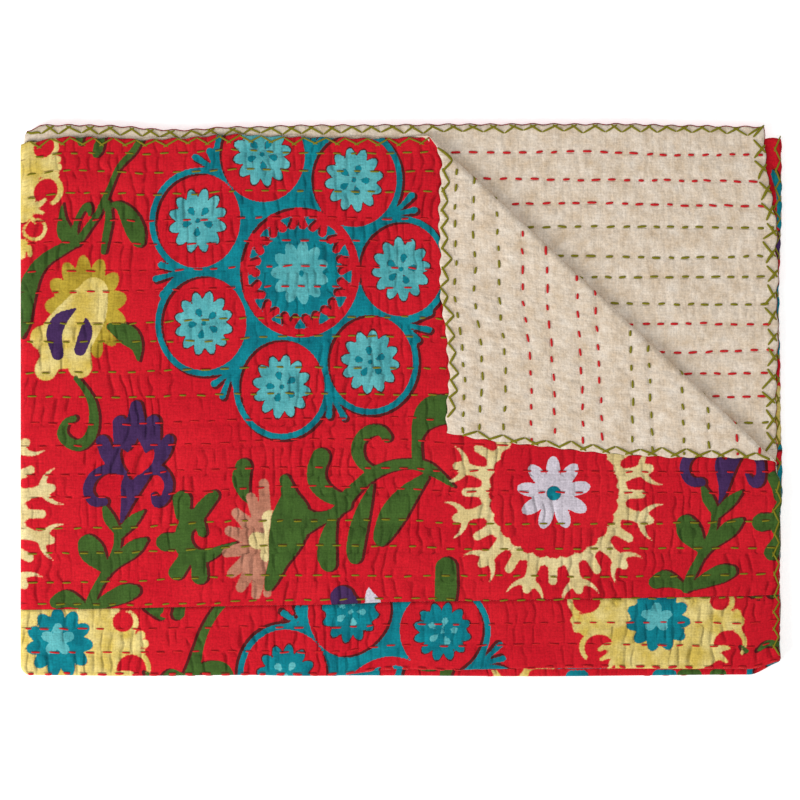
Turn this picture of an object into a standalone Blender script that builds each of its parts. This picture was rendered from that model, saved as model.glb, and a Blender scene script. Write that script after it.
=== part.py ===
"""Kantha quilt: a throw of printed cotton over a plain back cloth, folded in quarters with one corner turned back.

The quilt is cut flat, as a maker would cut it: the front cloth in two panels joined along a seam, and one back
cloth. Each cloth is a thin slab whose outer face is lofted between the rows of quilting. The slabs are then folded
by the same functions, so they stay one small gap apart through every fold. Sizes are in metres, +Z is up.
"""

import math

import bmesh
import bpy
from mathutils import Vector

# The quilt laid out flat: rows of quilting run along its length.
LENGTH = 1.778
WIDTH = 1.270

# On the flat cloth, s runs along the rows from the left fold and t across them from the bottom fold.
# The quarter with s and t above zero lies on top, face up.
HALF = LENGTH / 2
TOP_DEPTH = 0.628
NEXT_DEPTH = WIDTH - TOP_DEPTH

# Thickness of one cloth at a row of stitches, how much higher it stands between rows, and at the hem.
CLOTH = 0.0010
LOFT = 0.0004
HEM_SHARE = 0.60
HEM_DEEP = 0.006
CLOTH_GAP = 0.0003

# The seam between the two front panels, at the left fold, and its climb to the right.
SEAM_HEIGHT = 0.0775
SEAM_SLOPE = 0.018

# Rows of quilting: distance of the first from its hem, and from row to row.
TOP_FIRST_ROW = 0.0175
TOP_ROW_STEP = 0.0290
NEXT_FIRST_ROW = 0.0335
NEXT_ROW_STEP = 0.0287
ROW_COUNT = 21

# Folds: the distance between the middles of two layers, and how many flat steps make each half turn.
LAYER_STEP = 0.0044
FOLD_STEPS = 6
CORNER_ROUND = 0.012

# The corner that is turned back: the two ends of its crease and where its tip lands, on the top layer.
CREASE_START = Vector((0.490, 0.6175))
CREASE_END = Vector((0.879, 0.2516))
TIP_LANDS = Vector((0.497, 0.2840))
CREASE_RADIUS = 0.0040
FLAP_SINKS = 0.0044
FLAP_SINK_RUN = 0.090

# How much the stack packs down away from its folds, and its slow waves.
PACK_DOWN = 0.16
PACK_START = 0.012
PACK_RUN = 0.110
WAVE = 0.035
WAVE_LONG = 0.290
WAVE_SHORT = 0.170

# Divisions along the rows in the two upper and the two lower layers.
UPPER_STEPS = 9
LOWER_STEPS = 4
EDGE_STRIP = 0.020

# How far each edge strays from straight, outwards: rows of (place along the edge, how far it strays).
TOP_HEM = ((0.002, -0.008), (0.012, -0.004), (0.047, 0.001), (0.111, 0.000), (0.140, -0.002), (0.186, 0.000),
           (0.250, 0.004), (0.326, 0.001), (0.400, 0.000), (0.478, 0.001), (0.508, -0.009), (0.540, -0.007),
           (0.564, -0.005), (0.590, -0.0035), (0.620, -0.0025), (0.640, -0.003), (0.687, 0.0005), (0.714, -0.002),
           (0.754, -0.005), (0.800, -0.006), (0.882, 0.000))
NEXT_HEM = ((0.003, -0.010), (0.009, -0.006), (0.022, 0.001), (0.093, 0.000), (0.186, -0.005), (0.240, -0.002),
            (0.326, 0.000), (0.443, 0.001), (0.676, 0.002), (0.792, 0.000), (0.866, -0.001))
LOWER_HEM = ((0.000, -0.008), (0.200, -0.010), (0.700, -0.012), (0.889, -0.015))
TOP_SIDE = ((0.000, -0.005), (0.180, -0.005), (0.212, -0.002), (0.252, -0.010), (0.294, -0.010), (0.382, -0.003),
            (0.436, -0.001), (0.555, -0.004), (0.592, -0.006), (0.628, -0.010))
NEXT_SIDE = ((0.000, -0.008), (0.323, -0.010), (0.404, -0.008), (0.439, -0.010), (0.474, -0.007), (0.497, -0.010),
             (0.521, -0.008), (0.556, -0.013), (0.574, -0.016), (0.591, -0.020), (0.642, -0.023))
LOWER_SIDE = ((0.000, -0.005), (0.183, -0.005), (0.212, -0.002), (0.323, -0.004), (0.439, -0.006), (0.556, -0.003),
              (0.642, -0.003))

# How far each pair of layers lies up from the bottom edge, along their fold.
UPPER_FOLD = ((0.000, 0.002), (0.130, 0.001), (0.270, 0.002), (0.320, 0.001), (0.360, 0.001), (0.440, 0.009),
              (0.500, 0.008), (0.620, 0.010), (0.850, 0.009), (0.889, 0.018))
LOWER_FOLD = ((0.000, 0.002), (0.130, 0.001), (0.270, 0.002), (0.320, 0.001), (0.400, 0.001), (0.600, 0.000),
              (0.850, 0.002), (0.889, 0.017))
HEM_REACH = 0.220
FOLD_REACH = 0.120

TURN_RADIUS = LAYER_STEP / 2
BOTTOM_RUN = math.pi * TURN_RADIUS / 2
LEFT_RUN = math.pi * LAYER_STEP / 2
OUTER = CLOTH_GAP / 2 + CLOTH
STACK_HALF = LAYER_STEP + TURN_RADIUS + OUTER
CREASE_RUN = math.pi * CREASE_RADIUS
SNAP = 1e-6

CREASE_ALONG = (CREASE_END - CREASE_START).normalized()
CREASE_ACROSS = Vector((-CREASE_ALONG.y, CREASE_ALONG.x))
ROLL_START = CREASE_START - CREASE_ACROSS * (CREASE_RADIUS + OUTER)


def eased(x):
    """0 below 0, 1 above 1, and a smooth step between."""
    x = min(1.0, max(0.0, x))
    return x * x * (3.0 - 2.0 * x)


def strays(table, place):
    """The value of a table at a place, eased from row to row."""
    if place <= table[0][0]:
        return table[0][1]
    for (start, low), (end, high) in zip(table, table[1:]):
        if place <= end:
            return low + (high - low) * eased((place - start) / (end - start))
    return table[-1][1]


def near_edge(distance, reach):
    """1 at an edge, easing to 0 at reach from it."""
    return 1.0 - eased(distance / reach)


def seam_at(s):
    """Height of the seam between the front panels at s."""
    return SEAM_HEIGHT + SEAM_SLOPE * s


def row_places():
    """The rows of quilting on each side of the bottom fold, as lists of t."""
    top = [TOP_DEPTH - TOP_FIRST_ROW - TOP_ROW_STEP * i for i in range(ROW_COUNT)]
    following = [-(NEXT_DEPTH - NEXT_FIRST_ROW - NEXT_ROW_STEP * i) for i in range(ROW_COUNT)]
    return top, following


def between(places):
    """The middles of neighbouring places."""
    return [(a + b) / 2 for a, b in zip(places, places[1:])]


def cut(sheet, point, normal, inside):
    """Cuts the faces of the flat sheet whose middle is inside, along a straight line."""
    faces = [f for f in sheet.faces if inside(f.calc_center_median())]
    edges = list({e for f in faces for e in f.edges})
    points = list({v for f in faces for v in f.verts})
    bmesh.ops.bisect_plane(sheet, geom=faces + edges + points, dist=SNAP, plane_co=point, plane_no=normal)


def cut_across(sheet, places, inside):
    for s in places:
        cut(sheet, Vector((s, 0, 0)), Vector((1, 0, 0)), inside)


def cut_along(sheet, places, inside):
    for t in places:
        cut(sheet, Vector((0, t, 0)), Vector((0, 1, 0)), inside)


def steps(start, end, count):
    return [start + (end - start) * i / count for i in range(count + 1)]


def flat_sheet():
    """The whole quilt as one flat face, cut where it folds, at its seam and along its rows of quilting."""
    sheet = bmesh.new()
    outline = ((-HALF, -NEXT_DEPTH), (HALF, -NEXT_DEPTH), (HALF, TOP_DEPTH), (-HALF, TOP_DEPTH))
    sheet.faces.new([sheet.verts.new((s, t, 0)) for s, t in outline])

    def anywhere(p):
        return True

    def top_layer(p):
        return p.x > LEFT_RUN and p.y > BOTTOM_RUN

    def upper_pair(p):
        return p.x > LEFT_RUN

    def fold_and_upper(p):
        return p.x > -LEFT_RUN

    cut_across(sheet, steps(-LEFT_RUN, LEFT_RUN, FOLD_STEPS), anywhere)
    cut_along(sheet, steps(-BOTTOM_RUN, BOTTOM_RUN, FOLD_STEPS), anywhere)
    cut_across(sheet, steps(LEFT_RUN, HALF, UPPER_STEPS)[1:-1] + [HALF - HEM_DEEP], anywhere)
    cut_across(sheet, steps(-LEFT_RUN, -HALF, LOWER_STEPS)[1:-1] + [HEM_DEEP - HALF], anywhere)
    cut_along(sheet, [TOP_DEPTH - HEM_DEEP, HEM_DEEP - NEXT_DEPTH], anywhere)
    cut(sheet, Vector((0, seam_at(0), 0)), Vector((-SEAM_SLOPE, 1, 0)).normalized(), anywhere)

    def top_edge(p):
        return p.x > LEFT_RUN and p.y > TOP_DEPTH - EDGE_STRIP

    def next_edge(p):
        return p.x > LEFT_RUN and p.y < EDGE_STRIP - NEXT_DEPTH

    def bottom_edge(p):
        return abs(p.y) < EDGE_STRIP and p.x > LEFT_RUN

    def lower_bottom_edge(p):
        return abs(p.y) < EDGE_STRIP and p.x < -LEFT_RUN

    top_rows, next_rows = row_places()
    cut_along(sheet, top_rows[::4] + next_rows[::4], anywhere)
    cut_along(sheet, top_rows + next_rows, fold_and_upper)
    cut_along(sheet, between(top_rows) + between(next_rows), upper_pair)

    to_flat = LEFT_RUN - STACK_HALF
    cut_across(sheet, [x + to_flat for x, _ in TOP_HEM[1:]], top_edge)
    cut_across(sheet, [x + to_flat for x, _ in NEXT_HEM[1:]], next_edge)
    cut_across(sheet, [x + to_flat for x, _ in UPPER_FOLD[1:-1]], bottom_edge)
    cut_across(sheet, [-x - to_flat for x, _ in LOWER_FOLD[4:-1]], lower_bottom_edge)

    for i in range(FOLD_STEPS + 1):
        place = ROLL_START + CREASE_ACROSS * (CREASE_RUN * i / FOLD_STEPS)
        cut(sheet, place.to_3d(), CREASE_ACROSS.to_3d(), top_layer)
    place = ROLL_START + CREASE_ACROSS * (CREASE_RUN + FLAP_SINK_RUN / 2)
    cut(sheet, place.to_3d(), CREASE_ACROSS.to_3d(), top_layer)
    bmesh.ops.triangulate(sheet, faces=sheet.faces[:])
    return sheet


def lofted(s, t):
    """How far the outer face of a cloth stands from the middle of the quilt, before folding."""
    top_rows, next_rows = row_places()
    rows = top_rows if t > 0 else next_rows
    step = TOP_ROW_STEP if t > 0 else NEXT_ROW_STEP
    to_row = min(abs(t - row) for row in rows)
    crown = math.sin(math.pi * min(1.0, to_row / step))
    uneven = 0.80 + 0.20 * math.sin(s / 0.031 + t / 0.043)
    flat_run = eased((abs(t) - BOTTOM_RUN) / 0.010) * eased((s - LEFT_RUN) / 0.010)
    return OUTER + LOFT * crown * uneven * flat_run


def at_hem(s, t):
    """How much of its thickness a cloth keeps, thinner at the turned edges."""
    edge = min(HALF - abs(s), TOP_DEPTH - t, NEXT_DEPTH + t)
    return HEM_SHARE + (1.0 - HEM_SHARE) * eased(edge / HEM_DEEP)


def strayed(s, t):
    """Moves a point of the flat cloth so that the hems run as unevenly as real ones."""
    hem = TOP_HEM if t > 0 else NEXT_HEM
    side = TOP_SIDE if t > 0 else NEXT_SIDE
    depth = TOP_DEPTH if t > 0 else NEXT_DEPTH
    if s < 0:
        hem, side = LOWER_HEM, LOWER_SIDE
    along, across = abs(s), abs(t)
    out = strays(hem, along) * near_edge(depth - across, HEM_REACH)
    wide = strays(side, across) * near_edge(HALF - along, HEM_REACH)
    return s + wide * math.copysign(1.0, s), t + out * math.copysign(1.0, t)


def turned_back(s, t, w):
    """Rolls the corner of the top layer over its crease and lays it on the layer's face."""
    place = Vector((s, t))
    beyond = (place - ROLL_START).dot(CREASE_ACROSS)
    if s < LEFT_RUN or t < BOTTOM_RUN or beyond <= 0.0:
        return s, t, w
    foot = place - CREASE_ACROSS * beyond
    if beyond < CREASE_RUN:
        angle = beyond / CREASE_RADIUS
        place = foot + CREASE_ACROSS * ((CREASE_RADIUS - w) * math.sin(angle))
        return place.x, place.y, CREASE_RADIUS - (CREASE_RADIUS - w) * math.cos(angle)
    flat = beyond - CREASE_RUN
    corner = Vector(strayed(HALF, TOP_DEPTH))
    corner_beyond = (corner - ROLL_START).dot(CREASE_ACROSS)
    mirrored = corner - CREASE_ACROSS * (2.0 * corner_beyond - CREASE_RUN)
    pull = (TIP_LANDS - mirrored) / (corner_beyond - CREASE_RUN)
    place = foot + (pull - CREASE_ACROSS) * flat
    sunk = FLAP_SINKS * eased(flat / FLAP_SINK_RUN)
    return place.x, place.y, 2.0 * CREASE_RADIUS - w - sunk


def over_bottom_fold(t, w):
    """Folds the cloth in half, face out: returns the depth, and the height from the middle of the two layers."""
    if t > BOTTOM_RUN:
        return t - BOTTOM_RUN, TURN_RADIUS + w
    if t < -BOTTOM_RUN:
        return -t - BOTTOM_RUN, -TURN_RADIUS - w
    angle = t / TURN_RADIUS
    return -(TURN_RADIUS + w) * math.cos(angle), (TURN_RADIUS + w) * math.sin(angle)


def over_left_fold(s, height):
    """Folds the two layers in half again: returns the distance across, and the height from the stack's middle."""
    radius = height + LAYER_STEP
    if s > LEFT_RUN:
        return s - LEFT_RUN, radius
    if s < -LEFT_RUN:
        return -s - LEFT_RUN, -radius
    angle = s / LAYER_STEP
    return -radius * math.cos(angle), radius * math.sin(angle)


def rounded_corner(x, y):
    """Draws in the corner where the two folds meet."""
    over_x = (CORNER_ROUND - x) / CORNER_ROUND
    over_y = (CORNER_ROUND - y) / CORNER_ROUND
    if over_x <= 0.0 or over_y <= 0.0:
        return x, y
    x = CORNER_ROUND * (1.0 - over_x * math.sqrt(1.0 - over_y * over_y / 2.0))
    y = CORNER_ROUND * (1.0 - over_y * math.sqrt(1.0 - over_x * over_x / 2.0))
    return x, y


def packed_down(x, y):
    """The share of its spacing that the stack keeps at a place seen from above."""
    inner = eased((x - PACK_START) / PACK_RUN) * eased((y - PACK_START) / PACK_RUN)
    wave = math.sin(x / WAVE_LONG * 2 * math.pi + 1.0) * math.sin(y / WAVE_SHORT * 2 * math.pi + 0.5)
    return 1.0 - PACK_DOWN * inner + WAVE * wave * inner


def laid(s, t, w):
    """Where a point of the flat quilt lies in the folded one, before the stack packs down."""
    fold = UPPER_FOLD if s > 0.0 else LOWER_FOLD
    s, t = strayed(s, t)
    s, t, w = turned_back(s, t, w)
    y, height = over_bottom_fold(t, w)
    x, z = over_left_fold(s, height)
    x, y = rounded_corner(x + STACK_HALF, y + TURN_RADIUS + OUTER)
    y += strays(fold, x) * near_edge(y, FOLD_REACH)
    return Vector((x, y, z + STACK_HALF))


def folded(point):
    """Where a point of the flat quilt, (s, t, height from its middle), lies in the folded one."""
    s, t, w = point
    place = laid(s, t, w)
    middle = laid(s, t, 0.0)
    share = packed_down(middle.x, middle.y)
    place.z -= (middle.z - OUTER) * (1.0 - share)
    return place


def outer_height(s, t):
    return CLOTH_GAP / 2 + (lofted(s, t) - CLOTH_GAP / 2) * at_hem(s, t)


def slab(sheet, inside, side, gap_edge):
    """One cloth cut from the flat sheet: its faces inside a region, thickened on the side given by 1 or -1."""
    cloth = sheet.copy()
    outside = [f for f in cloth.faces if not inside(f.calc_center_median())]
    bmesh.ops.delete(cloth, geom=outside, context="FACES")
    for v in cloth.verts:
        if gap_edge and abs(v.co.y - seam_at(v.co.x)) < 1e-5:
            v.co.y += gap_edge
    base = cloth.verts[:]
    raised = bmesh.ops.extrude_face_region(cloth, geom=cloth.faces[:], use_keep_orig=True)
    top = [v for v in raised["geom"] if isinstance(v, bmesh.types.BMVert)]
    for v in top:
        v.co.z = side * outer_height(v.co.x, v.co.y)
    for v in base:
        v.co.z = side * CLOTH_GAP / 2
    bmesh.ops.recalc_face_normals(cloth, faces=cloth.faces[:])
    return cloth


def material(name, colour, roughness):
    finish = bpy.data.materials.new(name)
    finish.use_nodes = True
    shader = finish.node_tree.nodes["Principled BSDF"]
    shader.inputs["Base Color"].default_value = (*colour, 1.0)
    shader.inputs["Roughness"].default_value = roughness
    shader.inputs["Metallic"].default_value = 0.0
    finish.diffuse_color = (*colour, 1.0)
    return finish


def add_cloth(name, cloth, finish, parent):
    for v in cloth.verts:
        v.co = folded(v.co)
    mesh = bpy.data.meshes.new(name)
    cloth.to_mesh(mesh)
    cloth.free()
    mesh.materials.append(finish)
    mesh.shade_smooth()
    mesh.set_sharp_from_angle(angle=math.radians(50))
    obj = bpy.data.objects.new(name, mesh)
    bpy.context.scene.collection.objects.link(obj)
    obj.parent = parent
    return obj


def centred(objects):
    """Moves the meshes so that the origin is under the middle of the quilt, on the surface it lies on."""
    points = [v.co for obj in objects for v in obj.data.vertices]
    low = Vector(min(p[axis] for p in points) for axis in range(3))
    high = Vector(max(p[axis] for p in points) for axis in range(3))
    shift = Vector(((low.x + high.x) / 2, (low.y + high.y) / 2, low.z))
    for obj in objects:
        for v in obj.data.vertices:
            v.co -= shift
    print("quilt size", [round(size, 4) for size in high - low], "shift", [round(c, 5) for c in shift])


def main():
    for obj in list(bpy.data.objects):
        bpy.data.objects.remove(obj)

    quilt = bpy.data.objects.new("kantha_quilt", None)
    bpy.context.scene.collection.objects.link(quilt)
    printed = material("printed_cotton", (0.610, 0.010, 0.028), 0.90)
    joined = material("printed_cotton_joined", (0.520, 0.010, 0.028), 0.90)
    plain = material("natural_cotton_back", (0.680, 0.590, 0.470), 0.92)
    sheet = flat_sheet()

    def above_seam(p):
        return p.y > seam_at(p.x)

    def below_seam(p):
        return p.y < seam_at(p.x)

    def whole(p):
        return True

    cloths = [
        add_cloth("front_upper_panel", slab(sheet, above_seam, 1, CLOTH_GAP / 2), printed, quilt),
        add_cloth("front_lower_panel", slab(sheet, below_seam, 1, -CLOTH_GAP / 2), joined, quilt),
        add_cloth("back_cloth", slab(sheet, whole, -1, 0.0), plain, quilt),
    ]
    sheet.free()
    centred(cloths)
    for obj in cloths:
        print(obj.name, len(obj.data.polygons), "triangles")


main()
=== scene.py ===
# %% [markdown]
# # A kantha quilt, folded in quarters
# Kantha is hand quilting from Bengal: two plain-woven cottons laid on each other and held together by long
# rows of running stitch. This throw has a printed front and a plain natural back. It is folded in half
# twice, and one corner of its top layer is turned back, so that the plain side and the stitches on it show.
#
# Every piece here is first laid out flat, as the maker lays the cloth out to cut it. Then one function
# folds the flat cloth, so print, puckers and stitches all stay where they belong on it.

from math import cos, pi, sin, tau

import bmesh
import bpy
import numpy as np
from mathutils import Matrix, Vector


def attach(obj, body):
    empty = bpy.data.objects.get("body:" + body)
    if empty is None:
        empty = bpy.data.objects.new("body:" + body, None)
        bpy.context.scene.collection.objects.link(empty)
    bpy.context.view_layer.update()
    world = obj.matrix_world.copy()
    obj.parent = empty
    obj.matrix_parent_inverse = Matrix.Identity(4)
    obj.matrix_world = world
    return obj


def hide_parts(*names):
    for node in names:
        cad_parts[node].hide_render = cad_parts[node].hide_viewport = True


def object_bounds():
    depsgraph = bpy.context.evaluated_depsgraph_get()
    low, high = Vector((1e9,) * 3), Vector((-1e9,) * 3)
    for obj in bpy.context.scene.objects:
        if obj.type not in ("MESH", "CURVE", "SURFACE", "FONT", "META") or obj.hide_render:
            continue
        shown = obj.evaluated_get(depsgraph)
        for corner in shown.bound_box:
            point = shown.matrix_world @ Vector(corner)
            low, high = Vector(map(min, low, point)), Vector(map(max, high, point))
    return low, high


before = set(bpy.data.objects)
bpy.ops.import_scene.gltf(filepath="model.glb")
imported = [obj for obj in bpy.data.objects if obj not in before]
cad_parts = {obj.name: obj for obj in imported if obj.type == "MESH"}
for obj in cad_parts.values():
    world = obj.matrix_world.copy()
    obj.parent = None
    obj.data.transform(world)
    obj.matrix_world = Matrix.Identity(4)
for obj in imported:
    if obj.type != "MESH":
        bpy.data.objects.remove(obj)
cad_low, cad_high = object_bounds()
print("CAD box, mm:", [round(1000 * v, 1) for v in (*cad_low, *cad_high)])

# %% [markdown]
# ## Sizes of the cloth
# A flat place on the quilt is (s, t): s runs along its 1778 mm length and t across its 1270 mm width, both
# from the two fold lines. A third number, w, is the height over the middle between the two cloths, on the
# printed side. The sizes repeat those of the solids, in metres. The tables say how far each hem and fold
# strays from a straight line.

# %% Sizes
LENGTH, WIDTH, TOP_DEPTH = 1.778, 1.270, 0.628
HALF, NEXT_DEPTH = LENGTH / 2, WIDTH - TOP_DEPTH
CLOTH, CLOTH_GAP = 0.0010, 0.0003  # the thickness of each cloth, and the gap between the two
SEAM_HEIGHT, SEAM_SLOPE = 0.0775, 0.018
LAYER_STEP, CORNER_ROUND = 0.0044, 0.012  # from layer to layer, and the rounding of the folded corner
TURN_RADIUS = LAYER_STEP / 2
BOTTOM_RUN, LEFT_RUN = pi * TURN_RADIUS / 2, pi * LAYER_STEP / 2
OUTER = CLOTH_GAP / 2 + CLOTH
STACK_HALF = LAYER_STEP + TURN_RADIUS + OUTER
HEM_REACH, FOLD_REACH = 0.220, 0.120  # how far into the cloth the straying of a hem or fold is felt
PACK_DOWN, PACK_START, PACK_RUN = 0.16, 0.012, 0.110  # away from its folds the stack lies lower
WAVE, WAVE_LONG, WAVE_SHORT = 0.035, 0.290, 0.170  # and it is never quite even

TOP_HEM = (
    (0.002, -0.008), (0.012, -0.004), (0.047, 0.001), (0.111, 0.000), (0.140, -0.002), (0.186, 0.000),
    (0.250, 0.004), (0.326, 0.001), (0.400, 0.000), (0.478, 0.001), (0.508, -0.009), (0.540, -0.007),
    (0.564, -0.005), (0.590, -0.0035), (0.620, -0.0025), (0.640, -0.003), (0.687, 0.0005), (0.714, -0.002),
    (0.754, -0.005), (0.800, -0.006), (0.882, 0.000),
)
NEXT_HEM = (
    (0.003, -0.010), (0.009, -0.006), (0.022, 0.001), (0.093, 0.000), (0.186, -0.005), (0.240, -0.002),
    (0.326, 0.000), (0.443, 0.001), (0.676, 0.002), (0.792, 0.000), (0.866, -0.001),
)
LOWER_HEM = ((0.000, -0.008), (0.200, -0.010), (0.700, -0.012), (0.889, -0.015))
TOP_SIDE = (
    (0.000, -0.005), (0.180, -0.005), (0.212, -0.002), (0.252, -0.010), (0.294, -0.010), (0.382, -0.003),
    (0.436, -0.001), (0.555, -0.004), (0.592, -0.006), (0.628, -0.010),
)
NEXT_SIDE = (
    (0.000, -0.008), (0.323, -0.010), (0.404, -0.008), (0.439, -0.010), (0.474, -0.007), (0.497, -0.010),
    (0.521, -0.008), (0.556, -0.013), (0.574, -0.016), (0.591, -0.020), (0.642, -0.023),
)
LOWER_SIDE = (
    (0.000, -0.005), (0.183, -0.005), (0.212, -0.002), (0.323, -0.004), (0.439, -0.006), (0.556, -0.003),
    (0.642, -0.003),
)
UPPER_FOLD = (
    (0.000, 0.002), (0.130, 0.001), (0.270, 0.002), (0.320, 0.001), (0.360, 0.001), (0.440, 0.009),
    (0.500, 0.008), (0.620, 0.010), (0.850, 0.009), (0.889, 0.018),
)
LOWER_FOLD = (
    (0.000, 0.002), (0.130, 0.001), (0.270, 0.002), (0.320, 0.001), (0.400, 0.001), (0.600, 0.000),
    (0.850, 0.002), (0.889, 0.017),
)

# the crease of the turned corner, the place its tip lands on, and how far the flap sinks past its roll
CREASE_START, CREASE_END = np.array((0.490, 0.6175)), np.array((0.879, 0.2516))
TIP_LANDS = np.array((0.497, 0.2840))
CREASE_RADIUS, FLAP_SINKS, FLAP_SINK_RUN = 0.0040, 0.0044, 0.090
CREASE_RUN = pi * CREASE_RADIUS
CREASE_ALONG = (CREASE_END - CREASE_START) / np.linalg.norm(CREASE_END - CREASE_START)
CREASE_ACROSS = np.array((-CREASE_ALONG[1], CREASE_ALONG[0]))
ROLL_START = CREASE_START - CREASE_ACROSS * (CREASE_RADIUS + OUTER)
print("flat cloth, mm:", LENGTH * 1000, "by", WIDTH * 1000)

# %% [markdown]
# ## Folding a flat place
# The real quilt is folded by hand: over its bottom fold, over its left fold, and then one corner is turned
# back. Cloth simulation could fold it too, but the creases would not fall where the photo has them. So each
# fold is a plain rule instead: up to the fold the cloth stays, round it the cloth runs on a half circle,
# and past it the cloth goes back the other way. NumPy works on all the points of a mesh at once, so folding
# costs next to nothing.


# %% Folding rules
def eased(x):
    x = np.clip(x, 0.0, 1.0)
    return x * x * (3.0 - 2.0 * x)


def strays(table, place):
    """The stray from a table of (place, stray), eased from one to the next."""
    out = np.full(np.shape(place), table[0][1])
    for (a, start), (b, end) in zip(table, table[1:]):
        out = np.where(place > a, start + (end - start) * eased((place - a) / (b - a)), out)
    return out


def near_edge(distance, reach):
    return 1.0 - eased(distance / reach)


def strayed(s, t):
    """Moves a flat place with the hems nearest to it."""
    along, across = np.abs(s), np.abs(t)
    hem = np.where(t > 0, strays(TOP_HEM, along), strays(NEXT_HEM, along))
    hem = np.where(s < 0, strays(LOWER_HEM, along), hem)
    side = np.where(t > 0, strays(TOP_SIDE, across), strays(NEXT_SIDE, across))
    side = np.where(s < 0, strays(LOWER_SIDE, across), side)
    depth = np.where(t > 0, TOP_DEPTH, NEXT_DEPTH)
    wide = side * near_edge(HALF - along, HEM_REACH)
    out = hem * near_edge(depth - across, HEM_REACH)
    return s + wide * np.sign(s), t + out * np.sign(t)


def beyond_crease(s, t):
    """How far past the crease a flat place lies."""
    return (s - ROLL_START[0]) * CREASE_ACROSS[0] + (t - ROLL_START[1]) * CREASE_ACROSS[1]


# a mirror image of the corner would miss the place its tip lands on: PULL is what to add for each metre
corner = np.array([float(v) for v in strayed(np.float64(HALF), np.float64(TOP_DEPTH))])
corner_beyond = (corner - ROLL_START) @ CREASE_ACROSS
mirror_image = corner - CREASE_ACROSS * (2 * corner_beyond - CREASE_RUN)
PULL = (TIP_LANDS - mirror_image) / (corner_beyond - CREASE_RUN)


def turned_back(s, t, w):
    """Rolls what lies beyond the crease over and lays it back."""
    beyond = beyond_crease(s, t)
    turns = (s >= LEFT_RUN) & (t >= BOTTOM_RUN) & (beyond > 0)
    foot_s, foot_t = s - CREASE_ACROSS[0] * beyond, t - CREASE_ACROSS[1] * beyond
    angle = np.clip(beyond, 0, CREASE_RUN) / CREASE_RADIUS
    reach = (CREASE_RADIUS - w) * np.sin(angle)
    rolled = (
        foot_s + CREASE_ACROSS[0] * reach,
        foot_t + CREASE_ACROSS[1] * reach,
        CREASE_RADIUS - (CREASE_RADIUS - w) * np.cos(angle),
    )
    flat = beyond - CREASE_RUN
    laid_back = (
        foot_s + (PULL[0] - CREASE_ACROSS[0]) * flat,
        foot_t + (PULL[1] - CREASE_ACROSS[1]) * flat,
        2 * CREASE_RADIUS - w - FLAP_SINKS * eased(flat / FLAP_SINK_RUN),
    )
    past = beyond >= CREASE_RUN
    return tuple(
        np.where(turns, np.where(past, b, a), still) for a, b, still in zip(rolled, laid_back, (s, t, w))
    )


def half_turn(along, out, radius, run):
    """Cloth that comes in on top, goes round a half circle and leaves underneath."""
    angle = np.clip(along, -run, run) / radius
    place = np.where(along > run, along - run, np.where(along < -run, -along - run, 0.0))
    place = np.where(np.abs(along) <= run, -out * np.cos(angle), place)
    height = np.where(along > run, out, np.where(along < -run, -out, out * np.sin(angle)))
    return place, height


def laid(s, t, w):
    """Turns the corner back, then folds over the bottom fold, then over the left one."""
    on_top = s > 0
    s, t = strayed(s, t)
    s, t, w = turned_back(s, t, w)
    y, height = half_turn(t, TURN_RADIUS + w, TURN_RADIUS, BOTTOM_RUN)
    x, z = half_turn(s, LAYER_STEP + height, LAYER_STEP, LEFT_RUN)
    x, y = x + STACK_HALF, y + TURN_RADIUS + OUTER
    over_x, over_y = (CORNER_ROUND - x) / CORNER_ROUND, (CORNER_ROUND - y) / CORNER_ROUND
    corner = (over_x > 0) & (over_y > 0)
    round_x = CORNER_ROUND * (1 - over_x * np.sqrt(np.maximum(0, 1 - over_y**2 / 2)))
    round_y = CORNER_ROUND * (1 - over_y * np.sqrt(np.maximum(0, 1 - over_x**2 / 2)))
    x, y = np.where(corner, round_x, x), np.where(corner, round_y, y)
    fold = np.where(on_top, strays(UPPER_FOLD, x), strays(LOWER_FOLD, x))
    return x, y + fold * near_edge(y, FOLD_REACH), z + STACK_HALF


def folded(s, t, w):
    """World places, in metres, of flat places on the cloth."""
    x, y, z = laid(s, t, w)
    mid_x, mid_y, mid_z = laid(s, t, np.zeros_like(s))
    inner = eased((mid_x - PACK_START) / PACK_RUN) * eased((mid_y - PACK_START) / PACK_RUN)
    wave = np.sin(mid_x / WAVE_LONG * tau + 1.0) * np.sin(mid_y / WAVE_SHORT * tau + 0.5)
    z = z - (mid_z - OUTER) * (PACK_DOWN * inner - WAVE * wave * inner)
    return np.stack((x + cad_low.x, y + cad_low.y, z), axis=-1)


corner_tip = folded(np.array([HALF]), np.array([TOP_DEPTH]), np.array([0.0]))[0]
print("the turned corner's tip lands at, mm:", (corner_tip * 1000).round(1))

# %% [markdown]
# ## Rows of stitching
# Kantha is stitched in rows along the cloth. The hand keeps about 29 mm between rows and 19 to 24 mm from
# stitch to stitch, and changes the thread after every three or four rows, from olive to red and back. A row
# is a height t, with a slow wander of up to 2 mm along it, made from smooth noise with a seed, so each run
# gives the same rows.

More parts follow.
